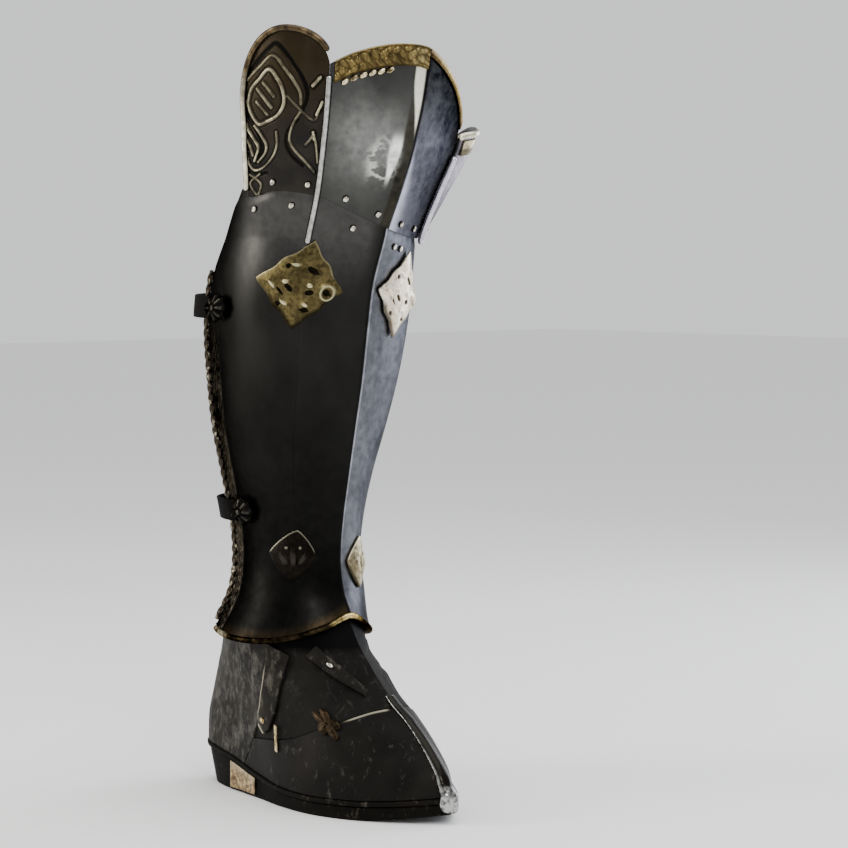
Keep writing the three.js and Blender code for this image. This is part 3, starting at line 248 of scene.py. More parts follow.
def soft_leg(turn, height):
    """The same with its keel and joins a little rounded, as hammered plate is."""
    aside = leg(turn - KEEL_SOFTNESS, height) + leg(turn + KEEL_SOFTNESS, height)
    return (2 * leg(turn, height) + aside) / 4


def normal(surface, turn, height):
    along = surface(turn + 0.5, height) - surface(turn - 0.5, height)
    up = surface(turn, height + 0.5) - surface(turn, height - 0.5)
    out = np.cross(along, up)
    return out / np.linalg.norm(out, axis=-1, keepdims=True)


def raised(surface, turn, height, lift):
    return surface(turn, height) + normal(surface, turn, height) * np.asarray(lift)[..., None]


def wrapped(bottom, top):
    """Heights of a sheet's lower and upper edges, each a function of the turn."""
    return lambda turn, share: mix(bottom(turn), top(turn), share)


def shaped_grid(across, up, shape, merge=0.0, closed=False):
    """A grid bent to a shape, which gives places and marks at a share of the grid's two sides. The marks
    become attributes, near vertices are joined, and the faces of a closed body are turned out."""
    bm = bmesh.new()
    bm.loops.layers.uv.new("UVMap")
    bmesh.ops.create_grid(bm, x_segments=across, y_segments=up, size=0.5, calc_uvs=True)
    places, marks = shape(np.array([v.co.xy for v in bm.verts]) + 0.5)
    for vertex, place in zip(bm.verts, places * MM):
        vertex.co = place
    for name, values in marks.items():
        layer = bm.verts.layers.float.new(name)
        for vertex, value in zip(bm.verts, values):
            vertex[layer] = value
    if merge:
        bmesh.ops.remove_doubles(bm, verts=bm.verts, dist=merge * MM)
    if closed:
        bmesh.ops.recalc_face_normals(bm, faces=bm.faces)
    return as_mesh("grid", bm)


def lay_grid(surface, across, up, layout, lift=0.0, relief=None, offset=raised, marks=None, merge=0.0):
    """A grid on a surface. layout gives turn and height at a share of its two sides."""
    def shape(share):
        turn, height = layout(share)
        out = np.full(len(share), float(lift))
        if relief:
            out = out + relief(turn, height)
        values = {name: mark(turn, height, share) for name, mark in (marks or {}).items()}
        return offset(surface, turn, height, out), values
    return shaped_grid(across, up, shape, merge)


def lay_sheet(surface, turns, heights, across, up, middle=0.0, **how):
    """A grid between two side edges, which give turns or a turn at a height, and two level edges."""
    def layout(share):
        height = np.full(len(share), float(middle))
        for _ in range(4):
            start, end = turns(height) if callable(turns) else turns
            turn = mix(start, end, share[:, 0])
            height = heights(turn, share[:, 1])
        return turn, height
    return lay_grid(surface, across, up, layout, **how)


def fit(name, mesh, finish, nodes, wall=0.0, edge=0.0, steps=2):
    """Makes the mesh a piece of the object, with its wall and rounded edges, and hides what it replaces."""
    mesh.name = name
    piece = bpy.data.objects.new(name, mesh)
    bpy.context.scene.collection.objects.link(piece)
    mesh.materials.append(finish)
    mesh.polygons.foreach_set("use_smooth", [True] * len(mesh.polygons))
    if wall:
        solid = piece.modifiers.new("wall", "SOLIDIFY")
        solid.thickness = wall * MM
        solid.offset = -1
    if edge:
        rounding = piece.modifiers.new("edge", "BEVEL")
        rounding.width = edge * MM
        rounding.segments = steps
        rounding.limit_method = "ANGLE"
        rounding.angle_limit = math.radians(50)
    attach(piece, "root")
    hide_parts(*nodes)
    return piece


class Finish:
    """A surface finish put together from shader nodes, on the object's own coordinates in metres."""

    def __init__(self, name, metallic=0.0, edge_tint=(1, 1, 1)):
        self.material = bpy.data.materials.new(name)
        self.material.use_nodes = True
        self.tree = self.material.node_tree
        self.shader = self.tree.nodes["Principled BSDF"]
        self.shader.inputs["Metallic"].default_value = metallic
        self.shader.inputs["Specular Tint"].default_value = (*edge_tint, 1)
        coordinates = self.tree.nodes.new("ShaderNodeTexCoord")
        self.place, self.facing = coordinates.outputs["Object"], coordinates.outputs["Normal"]
        self.height = None

    def set(self, socket, value):
        if isinstance(value, bpy.types.NodeSocket):
            self.tree.links.new(value, socket)
        elif hasattr(value, "__len__") and socket.type == "RGBA":
            socket.default_value = (*value[:3], 1)
        else:
            socket.default_value = value

    def node(self, kind, inputs, **settings):
        made = self.tree.nodes.new("ShaderNode" + kind)
        for key, value in settings.items():
            setattr(made, key, value)
        for key, value in inputs.items():
            self.set(made.inputs[key], value)
        return made

    def noise(self, scale, detail, stretch=(1, 1, 1), rough=0.55, shift=(0, 0, 0)):
        at = self.node("Mapping", {"Vector": self.place, "Scale": stretch, "Location": shift})
        made = self.node("TexNoise", {
            "Vector": at.outputs[0], "Scale": scale, "Detail": detail, "Roughness": rough,
        })
        return made.outputs["Fac"]

    def cells(self, scale):
        return self.node("TexVoronoi", {"Vector": self.place, "Scale": scale}).outputs["Distance"]

    def mark(self, name):
        return self.node("Attribute", {}, attribute_name=name).outputs["Fac"]

    def span(self, value, low, high, to_low=0.0, to_high=1.0):
        return self.node("MapRange", {0: value, 1: low, 2: high, 3: to_low, 4: to_high}).outputs[0]

    def math(self, operation, a, b=0.0):
        return self.node("Math", {0: a, 1: b}, operation=operation).outputs[0]

    def blend(self, share, a, b):
        made = self.node("Mix", {}, data_type="RGBA")
        self.set(made.inputs[0], share)
        self.set(made.inputs[6], a)
        self.set(made.inputs[7], b)
        return made.outputs[2]

    def colour(self, value):
        self.set(self.shader.inputs["Base Color"], value)

    def rough(self, value):
        self.set(self.shader.inputs["Roughness"], value)

    def bump(self, height, distance, strength):
        """Adds a layer of bump whose full height is a distance in millimetres."""
        made = self.node("Bump", {"Height": height, "Distance": distance * MM, "Strength": strength})
        if self.height:
            self.tree.links.new(self.height, made.inputs["Normal"])
        self.height = made.outputs["Normal"]
        self.tree.links.new(self.height, self.shader.inputs["Normal"])

    def inside(self):
        """1 on faces that look towards the leg's axis, 0 on the others."""
        away = self.node("VectorMath", {0: self.place, 1: (1, 1, 0)}, operation="MULTIPLY")
        same = self.node("VectorMath", {0: self.facing, 1: away.outputs[0]}, operation="DOT_PRODUCT")
        return self.math("LESS_THAN", same.outputs["Value"], 0)


# Darker tones for the faces that look towards the leg's axis: painted shade inside the greave.
INSIDE_SHADE = (0.008, 0.0075, 0.007), (0.022, 0.021, 0.019)


def blackened_steel(name, dark, pale, layers, scratched=None, rough=(0.27, 0.42)):
    """Steel blackened in oil and wiped: uneven in tone and faintly streaked. Each layer is a marked place
    with its own darker and paler tone, and several layers are painted highlights, reflections and shade.
    Its inside faces are painted darker, as painted shade."""
    made = Finish(name, metallic=1.0, edge_tint=(0.35, 0.35, 0.35))
    cloud = made.noise(26, 5, (1, 1, 0.6))
    streak = made.noise(160, 3, (6, 6, 0.35))
    patchy = made.noise(150, 5)
    tone = made.blend(made.span(cloud, 0.35, 0.7), dark, pale)
    tone = made.blend(made.span(streak, 0.62, 0.8, 0, 0.35), tone, pale)
    for mark, low, high in layers:
        own = made.blend(made.span(made.math("ADD", cloud, patchy), 0.75, 1.25), low, high)
        tone = made.blend(made.mark(mark), tone, own)
    if scratched:
        off = made.math("ABSOLUTE", made.math("SUBTRACT", made.noise(62, 4, (1, 1, 1.5)), 0.5))
        line = made.math("MULTIPLY", made.span(off, 0.015, 0.085, 1, 0), made.mark("scratch"))
        tone = made.blend(line, tone, scratched)
    made.colour(made.blend(made.inside(), tone, made.blend(cloud, *INSIDE_SHADE)))
    made.rough(made.span(made.math("ADD", cloud, made.math("MULTIPLY", streak, 0.6)), 0.5, 1.1, *rough))
    made.bump(made.noise(17, 2), 1.1, 0.35)
    made.bump(streak, 0.05, 0.5)
    made.bump(made.noise(1500, 2), 0.02, 0.5)
    return made.material


def shin_face(turn, height):
    under = STEEL_WALL + SEAT_GAP - KNEE_PROUD
    tuck = under * ease(seam(turn) - SEAM_OVERLAP / 2, seam(turn), height)
    return raised(soft_leg, turn, height, -tuck)


def flank_reflection(turn, height, share):
    """Painted reflection of the cool light on the right: the inner flank in front, in blue-grey, stronger
    above its foot.
    """
    return ease(0.3, 1.3, turn) * (0.55 + 0.45 * ease(-0.02, 0.12, share[:, 1]))


def shin_top_highlight(turn, height, share):
    """Painted highlight on the upper shin, on the outer side of the keel."""
    return ease(385, 452, height) * ease(-105, -80, turn) * fall(-12, -2, turn) * 0.9


# Painted shade: the shin darker towards the hem, on the outer side of the keel.
def low_shade(turn, height, share):
    return fall(190, 400, height) * fall(-0.5, 0.8, turn)


def hem_reflection(turn, height, share):
    """Painted brown reflection just over the hem, strongest towards the front."""
    return fall(0, 9, height - hem(turn)) * (0.35 + 0.5 * ease(-85, -10, turn))


def rough_strip(turn, height, share):
    """The hammered strip beside the rolled back edge."""
    return ease(98.5, 101, np.abs(turn)) * fall(330, 390, height)


def hammered(turn, height):
    """The strip's crowded hammer marks, up to HAMMER_RISE proud."""
    around, up = np.abs(turn) * 1.4, height
    rows = np.sin(around * 0.75 + 1.4 * np.sin(up * 0.41))
    columns = np.sin(up * 0.63 + 1.1 * np.sin(around * 0.5))
    return HAMMER_RISE * np.abs(rows * columns) * rough_strip(turn, height, None)


def keel_shade(turn, height, share):
    return fall(0.3, 1.6, np.abs(turn + 1.0)) * 0.8


# Painted highlight: a pale line along the keel's inner edge, above its foot.
def keel_highlight(turn, height, share):
    return fall(0.2, 0.9, np.abs(turn - 1.1)) * 0.75 * ease(0.05, 0.3, share[:, 1])


# Its glow, dark, warm, bare, shade and line layers are painted light: a highlight on the upper shin, shade
# low on the outer side, a brown reflection over the hem, a blue-grey reflection on the inner flank, and shade
# and a pale highlight along the keel.
shin_steel = blackened_steel(
    "shin_steel", (0.0120, 0.0117, 0.0107), (0.0205, 0.0200, 0.0185),
    layers=(
        ("glow", (0.040, 0.039, 0.037), (0.062, 0.061, 0.058)),
        ("dark", (0.0042, 0.0041, 0.0038), (0.0075, 0.0073, 0.0068)),
        ("warm", (0.013, 0.0095, 0.0055), (0.042, 0.028, 0.013)),
        ("strip", (0.005, 0.0045, 0.004), (0.070, 0.060, 0.045)),
        ("bare", (0.070, 0.073, 0.083), (0.150, 0.155, 0.174)),
        ("shade", (0.006, 0.006, 0.006), (0.010, 0.010, 0.010)),
        ("line", (0.20, 0.21, 0.24), (0.42, 0.43, 0.47)),
    ),
)
shin_marks = {"glow": shin_top_highlight, "dark": low_shade, "warm": hem_reflection}
front_marks = {**shin_marks, "bare": flank_reflection, "shade": keel_shade, "line": keel_highlight}
side_marks = {**shin_marks, "strip": rough_strip}
for name, turns, across, marks in (
    ("front", (-JOIN_TURN, JOIN_TURN), 140, front_marks),
    ("outer", (-BACK_TURN, -JOIN_TURN), 120, side_marks),
    ("inner", (JOIN_TURN, BACK_TURN), 120, side_marks),
):
    plate = lay_sheet(
        shin_face, turns, wrapped(hem, shin_top), across, 190, marks=marks,
        relief=None if name == "front" else hammered,
    )
    fit(f"shin_plate_{name}", plate, shin_steel, [f"shin_{name}"], STEEL_WALL, 0.3)


# Knee plate: the same steel, but wiped almost bright, with a sharp keel, and on its outer face a worn wedge,
# a ring of scratches and a painted soft reflection. Painted highlights run down the keel, and the inner flank
# has painted shade and a painted lilac reflection. It is riveted over the tops of the shin plates along a
# slanting seam.
KNEE_TOP = [
    (-48, 0.89), (-43, 0.925), (-36, 0.965), (-24, 1.005), (-12, 1.02), (0, 1.0), (24, 0.83), (48, 0.56),
]


def knee_top(turn):
    return SEAM_HEIGHT + (PEAK_HEIGHT - SEAM_HEIGHT) * curve(KNEE_TOP, turn)


def knee_face(turn, height):
    return raised(soft_leg, turn, height, KNEE_PROUD)


def spot(turn, height, place, reach):
    """A soft round mark, strongest in its middle."""
    return np.exp(-(((turn - place[0]) / reach[0]) ** 2) - ((height - place[1]) / reach[1]) ** 2)


# Painted reflection: a soft pale patch on the knee's outer face.
def knee_reflection(turn, height, share):
    return 0.9 * spot(turn, height, (-20, 512), (15, 24)) + 0.4 * spot(turn, height, (-36, 520), (12, 34))


def knee_wear(turn, height, share):
    """Bare metal in a slanting wedge beside the keel."""
    off = (turn + 9.6 - (height - 498) * 0.03) / mix(1.2, 3.2, ease(484, 508, height))
    return np.clip(1.5 * np.exp(-(off ** 4) - ((height - 500) / 15) ** 4), 0, 1)


def knee_scratch(turn, height, share):
    """A ring of scratches that the wedge closes."""
    far = np.hypot((turn + 15) / 7.5, (height - 499) / 15)
    return np.clip(1.1 * np.exp(-(((far - 0.75) / 0.4) ** 2)), 0, 1) * 0.85


# Painted shade: the inner flank of the knee darker than its outer face.
def knee_flank_shade(turn, height, share):
    return ease(0.3, 1.3, turn)


# Painted reflection: lilac grey on the lower part of the inner flank.
def knee_lilac_reflection(turn, height, share):
    return ease(0.3, 1.3, turn) * fall(492, 566, height + turn * 0.5) * 0.9


def keel_streak_highlight(turn, height, share):
    """Painted highlight: a pale streak down the inner side of the keel, widest at the seam."""
    width = mix(7.0, 1.0, ease(450, 520, height))
    return ease(0.3, 1.0, turn) * np.exp(-((turn / width) ** 2)) * fall(500, 530, height)


def knee_olive(turn, height, share):
    band = ease(-6.8, -5.4, turn) * fall(-0.6, 0.3, turn)
    return band * fall(525, 560, height) * 0.9


def keel_highlight_wedge(turn, height, share):
    """Painted highlight: a bright wedge on the keel below the band, tapering down."""
    width = mix(0.2, 5.2, ease(512, 560, height))
    return ease(-width - 0.7, -width, turn) * fall(-0.9, -0.2, turn) * ease(512, 528, height)


def knee_black(turn, height, share):
    return ease(-0.5, 0.0, turn) * fall(0.9, 1.8, turn) * ease(470, 500, height) * 0.9


knee_marks = {
    "glow": knee_reflection, "worn": knee_wear, "scratch": knee_scratch, "flank": knee_flank_shade, "lilac": knee_lilac_reflection,
    "streak": keel_streak_highlight, "olive": knee_olive, "cream": keel_highlight_wedge, "black": knee_black,
}
knee_steel = blackened_steel(
    "knee_steel", (0.025, 0.025, 0.0235), (0.050, 0.050, 0.047),
    layers=(
        ("glow", (0.12, 0.125, 0.118), (0.24, 0.245, 0.23)),
        ("worn", (0.78, 0.78, 0.74), (1.0, 1.0, 0.95)),
        ("flank", (0.012, 0.0122, 0.013), (0.034, 0.035, 0.036)),
        ("lilac", (0.062, 0.063, 0.075), (0.125, 0.127, 0.147)),
        ("streak", (0.40, 0.40, 0.50), (0.60, 0.60, 0.70)),
        ("olive", (0.010, 0.0095, 0.007), (0.034, 0.032, 0.023)),
        ("cream", (0.66, 0.65, 0.50), (0.92, 0.90, 0.74)),
        ("black", (0.004, 0.004, 0.005), (0.008, 0.008, 0.009)),
    ),
    scratched=(0.50, 0.51, 0.47), rough=(0.22, 0.36),
)
plate = lay_sheet(knee_face, (-JOIN_TURN, JOIN_TURN), wrapped(seam, knee_top), 190, 130, marks=knee_marks)
fit("knee_plate", plate, knee_steel, ["knee_front"], STEEL_WALL, 0.35)


# Inner wing: a low lobe of the same wiped steel on the inner side of the knee, flared away from it. It butts
# against the knee plate under the rib, and its front carries a painted pale reflection, the palest steel of
# the greave, with painted shade in the corner by the rib.
LOBE_TURN = 66
WINGS = {
    "outer": {"peak": 1.094, "front": 30, "back": 56, "flare": 6, "turn": 19, "power": 1.5},
    "inner": {"peak": 0.575, "front": 20, "back": 38, "flare": 14, "turn": 9, "power": 0.35},
}
for wing in WINGS.values():
    wing["peak"] = SEAM_HEIGHT + (PEAK_HEIGHT - SEAM_HEIGHT) * wing["peak"]


def lobe_top(name):
    """Top of a wing: a quarter of an ellipse down to the join, and another down to the back edge."""
    wing = WINGS[name]

    def top(turn):
        before = np.abs(turn) < LOBE_TURN
        reach = np.where(before, LOBE_TURN - JOIN_TURN, WING_TURN - LOBE_TURN)
        u = np.clip((np.abs(turn) - LOBE_TURN) / reach, -1, 1)
        return wing["peak"] - np.where(before, wing["front"], wing["back"]) * (1 - np.sqrt(1 - u * u))
    return top


def wing_face(turn, height):
    out = np.zeros(np.broadcast(turn, height).shape)
    for sign, wing in ((-1, WINGS["outer"]), (1, WINGS["inner"])):
        up = np.clip((height - seam(turn)) / (wing["peak"] - seam(turn)), 0, 1)
        round_off = ease(JOIN_TURN, JOIN_TURN + wing["turn"], np.abs(turn))
        out = np.where(np.sign(turn) == sign, wing["flare"] * up ** wing["power"] * round_off, out)
    return raised(leg, turn, height, KNEE_PROUD + out)


def lobe_reflection(turn, height, share):
    """Painted reflection: the flared front of the lobe in a pale lilac grey, most of all near its rim."""
    return fall(0.5, 0.75, share[:, 0]) * (0.35 + 0.65 * ease(0.1, 0.8, share[:, 1]))


def rib_corner_shade(turn, height, share):
    """Painted shade in the corner beside the rib."""
    return fall(0.05, 0.12, share[:, 0])


inner_steel = blackened_steel(
    "inner_wing_steel", (0.045, 0.046, 0.058), (0.085, 0.086, 0.10),
    layers=(
        ("pale", (0.24, 0.23, 0.28), (0.50, 0.47, 0.54)),
        ("gap", (0.004, 0.004, 0.004), (0.008, 0.008, 0.008)),
    ),
    rough=(0.22, 0.34),
)
butt = math.degrees(BUTT_GAP / KNEE_WIDTH * 2)
plate = lay_sheet(
    wing_face, (JOIN_TURN + butt, WING_TURN), wrapped(seam, lobe_top("inner")), 90, 60,
    marks={"pale": lobe_reflection, "gap": rib_corner_shade},
)
fit("knee_wing_inner_plate", plate, inner_steel, ["knee_wing_inner"], STEEL_WALL, 0.35)


# Outer wing: a tall lobe of dark bronze. Its face is chased with an interlace: a pointed arch over an oval
# ring with slanting bars, and crossing strands below. Ridges are rubbed pale gold and grooves hold soot.
# half width, brightness, and the strand's course as turn on the outer side and height
RIDGES = [
    (1.2, 0.35, [(85.8, 559), (78.8, 568), (71.8, 576), (66.2, 566), (61.8, 556), (59.2, 548), (58.8, 540)]),
    (1.5, 0.72, [(86.2, 542), (83.8, 552), (79.2, 559), (73.8, 566), (69.5, 558), (67, 549), (66.8, 540),
                 (70, 532), (75.2, 528), (80.2, 526), (84.5, 534), (86.4, 543)]),
    (1.4, 0.42, [(77, 556), (74.4, 551.5), (71.6, 546)]),
    (1.5, 0.5, [(80.4, 552), (76.8, 545), (73.0, 538)]),
    (1.3, 0.5, [(81, 542.5), (78.2, 538), (75.2, 533)]),
    (1.3, 1.0, [(89.0, 531), (86.8, 522), (82.8, 514), (80.5, 508), (83.2, 499)]),
    (1.2, 0.8, [(82.8, 525), (79, 518), (75.8, 510), (76.8, 504), (80.8, 498)]),
    (1.1, 0.75, [(88.5, 506), (87.5, 498), (83.5, 492), (77.8, 494), (72.5, 501), (70, 510), (70.5, 520)]),
    (1.1, 0.42, [(59, 534), (62.5, 524), (63.5, 514), (60.5, 506), (55.2, 498), (50, 490)]),
    (0.9, 0.14, [(65, 546), (59.2, 536), (52.2, 528), (49.4, 541)]),
    (1.4, 1.0, [(53.8, 553), (52.3, 556), (50.8, 559)]),
    (1.3, 1.0, [(51.4, 532), (50.2, 536.5), (49.2, 541)]),
    (1.2, 0.5, [(52.2, 518), (50.4, 510), (48.8, 497)]),
    (1.3, 0.9, [(52.4, 519), (51.9, 516.5), (51.6, 514)]),
    (1.0, 0.25, [(52.2, 517), (53.8, 513), (55.5, 510)]),
    (1.1, 0.5, [(87.2, 489), (79.6, 482), (80.5, 474)]),
    (1.1, 0.45, [(80.2, 489), (86.8, 482), (81.5, 473)]),
    (1.2, 0.9, [(87.6, 514), (85.8, 510), (84.2, 503)]),
]
GROOVES = [
    (1.9, 0, [(86.6, 563), (80, 572), (74.5, 580), (70, 584.5), (65.8, 578), (62, 568.5), (58.4, 559),
           (56.3, 550), (56.2, 543), (57.8, 536)]),
    (2.3, 0, [(87.4, 549), (87.6, 539), (85.2, 529), (80.8, 520), (78.3, 511), (79.3, 504), (82.5, 498)]),
    (1.6, 0, [(87.8, 500), (86, 494), (82, 489), (76, 489.5)]),
    (1.4, 0, [(60, 529), (64.8, 520), (65.2, 511), (61.8, 502), (56, 494.5)]),
]
RIDGE_HEIGHT, GROOVE_DEPTH = 1.15, 0.8
DEGREE = 1.66  # mm round the knee in one degree of turn


def from_strands(strands, turn, height):
    """Share of each strand's half width that a place lies from the nearest strand, and its brightness."""
    nearest, shine = np.full(turn.shape, 9.0), np.zeros(turn.shape)
    for half_width, bright, points in strands:
        count = len(points)
        line = through(np.column_stack([np.arange(count), points]), np.linspace(0, count - 1, 9 * count))
        aside, up = (-turn[:, None] - line[:, 0]) * DEGREE, height[:, None] - line[:, 1]
        away = np.hypot(aside, up).min(1) / half_width
        shine = np.where(away < nearest, bright, shine)
        nearest = np.minimum(nearest, away)
    return nearest, shine


def chased(turn, height):
    """Relief of the interlace: round ridges, each between two fine cut lines, and wide grooves."""
    ridge, shine = from_strands(RIDGES, turn, height)
    groove = from_strands(GROOVES, turn, height)[0]
    crown = np.sqrt(np.clip(1 - ridge**2, 0, 1)) * mix(0.6, 1, shine)
    cut = np.exp(-(((ridge - 1.45) / 0.4) ** 2)) * mix(0.3, 1, shine)
    trough = np.clip(1 - groove**4, 0, 1) * (ridge > 1)
    return crown * RIDGE_HEIGHT - np.maximum(cut * 0.55, trough) * GROOVE_DEPTH


def gilding(turn, height, share):
    ridge, shine = from_strands(RIDGES, turn, height)
    return fall(0.45, 1.05, ridge) * shine


def soot(turn, height, share):
    ridge, shine = from_strands(RIDGES, turn, height)
    cut = np.exp(-(((ridge - 1.55) / 0.55) ** 2)) * mix(0.4, 1, shine)
    trough = fall(0.7, 1.15, from_strands(GROOVES, turn, height)[0])
    return np.clip(np.maximum(cut, trough) * (ridge > 0.95), 0, 1)


def bronzed(turn, height, share):
    """Browner over the arch, and near black steel below it."""
    return ease(505, 565, height + (np.abs(turn) - 66) * 0.6)


wing_bronze = Finish("chased_bronze", metallic=0.85, edge_tint=(0.35, 0.32, 0.28))
cloud = wing_bronze.noise(38, 5)
field = wing_bronze.blend(wing_bronze.mark("bronzed"), (0.016, 0.0148, 0.0140), (0.024, 0.0172, 0.0092))
field = wing_bronze.blend(wing_bronze.span(cloud, 0.4, 0.75, 0, 0.5), field, (0.045, 0.037, 0.026))
uneven = wing_bronze.span(wing_bronze.noise(120, 5), 0.38, 0.62, 0.25, 1)
rubbed = wing_bronze.math("MULTIPLY", wing_bronze.mark("gilding"), uneven)
tone = wing_bronze.blend(rubbed, field, (0.50, 0.455, 0.30))
tone = wing_bronze.blend(wing_bronze.mark("soot"), tone, (0.004, 0.0037, 0.003))
# Its inside faces take a dark tone: painted shade.
wing_bronze.colour(wing_bronze.blend(wing_bronze.inside(), tone, (0.018, 0.014, 0.009)))
wing_bronze.rough(wing_bronze.span(wing_bronze.noise(90, 4), 0.35, 0.7, 0.3, 0.5))
wing_bronze.bump(wing_bronze.noise(320, 4), 0.12, 0.6)
wing_bronze.bump(wing_bronze.noise(40, 3), 0.9, 0.3)

plate = lay_sheet(
    wing_face, (-WING_TURN, -JOIN_TURN - butt), wrapped(seam, lobe_top("outer")), 150, 250, relief=chased,
    marks={"gilding": gilding, "soot": soot, "bronzed": bronzed},
)
fit("knee_wing_outer_plate", plate, wing_bronze.material, ["knee_wing_outer"], STEEL_WALL)


# Ribs: two bright half-round steel bars, brazed over the joints of knee plate and wings. They run on down
# over the shin to the diamond mounts.
RIB_RADIUS = 2.6
UPPER_MOUNT_HEIGHT = SEAM_HEIGHT - 50
UPPER_MOUNT_TALL, UPPER_MOUNT_WIDTH = 66, 68
SIDES = (("outer", -1), ("inner", 1))
BAR_STATIONS = np.linspace(0, 1, 400)


def lay_bar(path, radius, steps, around=16, twist=None, closed=False):
    """A round bar along a path, with domed ends. A twist, which is its lay, its lobes and their depth, gives
    its section lobes that wind round it."""
    def shape(share):
        way, angle = share[:, 0], share[:, 1] * 2 * math.pi
        point, out, side = path(way)
        steps_along = np.linalg.norm(np.diff(path(BAR_STATIONS)[0], axis=0), axis=1)
        run = np.concatenate([[0], np.cumsum(steps_along)])
        at = np.interp(way, BAR_STATIONS, run)
        to_end = np.clip(np.minimum(at, run[-1] - at) / radius, 0, 1)
        reach = radius * (1.0 if closed else np.sqrt(1 - (1 - to_end) ** 2))
        if twist:
            lay, lobes, depth = twist
            reach = reach * (1 - depth * np.abs(np.sin((angle - at / lay * 2 * math.pi) * lobes / 2)) ** 1.5)
        places = point + out * (reach * np.cos(angle))[:, None] + side * (reach * np.sin(angle))[:, None]
        return places, {"top": np.cos(angle), "way": way}
    return shaped_grid(steps, around, shape, merge=0.02, closed=True)


def along(surface, place, lift):
    """Path on a surface, lifted off it. place gives turn and height at a share of the way."""
    def path(s):
        turn, height = place(s)
        out = normal(surface, turn, height)
        ahead, behind = place(np.minimum(s + 0.004, 1)), place(np.maximum(s - 0.004, 0))
        run = surface(*ahead) - surface(*behind)
        run /= np.linalg.norm(run, axis=-1, keepdims=True)
        return surface(turn, height) + out * lift, out, np.cross(run, out)
    return path


def bright_steel(name, pale, dark, rough=(0.18, 0.36), shaded=None):
    """Steel rubbed bright by wear, with dark oil left in its pits. A shaded range gives it painted shade
    along its foot.
    """
    made = Finish(name, metallic=1.0)
    pits = made.noise(260, 5)
    tone = made.blend(made.span(pits, 0.36, 0.56), dark, pale)
    if shaded:
        tone = made.blend(made.span(made.mark("top"), *shaded), (0.012, 0.011, 0.009), tone)
    made.colour(tone)
    made.rough(made.span(made.noise(120, 4), 0.35, 0.7, *rough))
    made.bump(pits, 0.18, 0.5)
    made.bump(made.noise(1400, 2), 0.02, 0.4)
    return made.material


# The outer rib gets painted shade on the sides that turn away from its top, so only a narrow line stays
# bright.
rib_steels = {
    "outer": bright_steel("outer_rib_steel", (0.46, 0.455, 0.44), (0.26, 0.255, 0.24), shaded=(0.70, 0.93)),
    "inner": bright_steel("inner_rib_steel", (0.60, 0.58, 0.66), (0.42, 0.41, 0.47)),
}
rib_foot = UPPER_MOUNT_HEIGHT + UPPER_MOUNT_TALL / 2 - 2
for name, sign in SIDES:
    wing = WINGS[name]
    rib_top = min(float(knee_top(sign * JOIN_TURN)), wing["peak"] - wing["front"]) - RIB_RADIUS
    place = lambda s: (np.full(s.shape, sign * JOIN_TURN), mix(rib_foot, rib_top, s))
    path = along(knee_face, place, RIB_RADIUS + SEAT_GAP)
    fit(f"rib_bar_{name}", lay_bar(path, RIB_RADIUS, 120), rib_steels[name], [f"rib_{name}"])


# Rims: the edges of the wings are rolled outwards over a wire, from the join over the lobe and down the back.
# The outer one is dark bronze, pale down the back; the inner one is nearly ivory bright.
RIM_RADIUS, RIM_START, RIM_SEAT = 2.6, 3.2, 0.9


def wing_edge(sign, wing):
    """Turn and height along a wing's rolled edge, just inside its rim."""
    front = LOBE_TURN - JOIN_TURN
    start = math.acos(RIM_START / DEGREE / front - 1)

    def place(s):
        over, down = np.minimum(s / 0.5, 1), np.maximum(s / 0.5 - 1, 0)
        angle = mix(start, 0, over)
        u = np.cos(angle)
        before = u < 0
        turn = sign * (LOBE_TURN + u * np.where(before, front, WING_TURN - LOBE_TURN))
        drop = np.where(before, wing["front"], wing["back"]) * (1 - np.sin(angle))
        return turn, mix(wing["peak"] - drop, seam(turn) + 2 * RIM_RADIUS, down)
    return place


def per_turn(surface, turn, height):
    """Millimetres along a surface in one degree of turn."""
    return np.linalg.norm(surface(turn + 0.5, height) - surface(turn - 0.5, height), axis=-1)


def moved_aside(surface, place, distance):
    """The same path, moved along the surface across its own run."""
    def moved(s):
        turn, height = place(s)
        step = per_turn(surface, turn, height)
        ahead, behind = place(np.minimum(s + 0.01, 1)), place(np.maximum(s - 0.01, 0))
        run = np.stack([(ahead[0] - behind[0]) * step, ahead[1] - behind[1]])
        run /= np.linalg.norm(run, axis=0)
        return turn - run[1] * distance / step, height + run[0] * distance
    return moved


def as_cast(made):
    """The uneven gloss and fine grain of cast bronze."""
    made.rough(made.span(made.noise(140, 3), 0.35, 0.7, 0.25, 0.42))
    made.bump(made.noise(420, 4), 0.15, 0.6)
    return made.material


def rolled_bronze(name, over, down, shaded):
    """Bronze of a rolled edge: one pair of tones over the lobe and another down the back, with painted shade
    on the side that its top mark turns away.
    """
    made = Finish(name, metallic=0.95)
    patchy = made.span(made.noise(170, 5), 0.38, 0.62)
    share = made.span(made.mark("way"), 0.40, 0.56)
    tone = made.blend(share, made.blend(patchy, *over), made.blend(patchy, *down))
    made.colour(made.blend(made.span(made.mark("top"), *shaded), (0.02, 0.016, 0.011), tone))
    return as_cast(made)


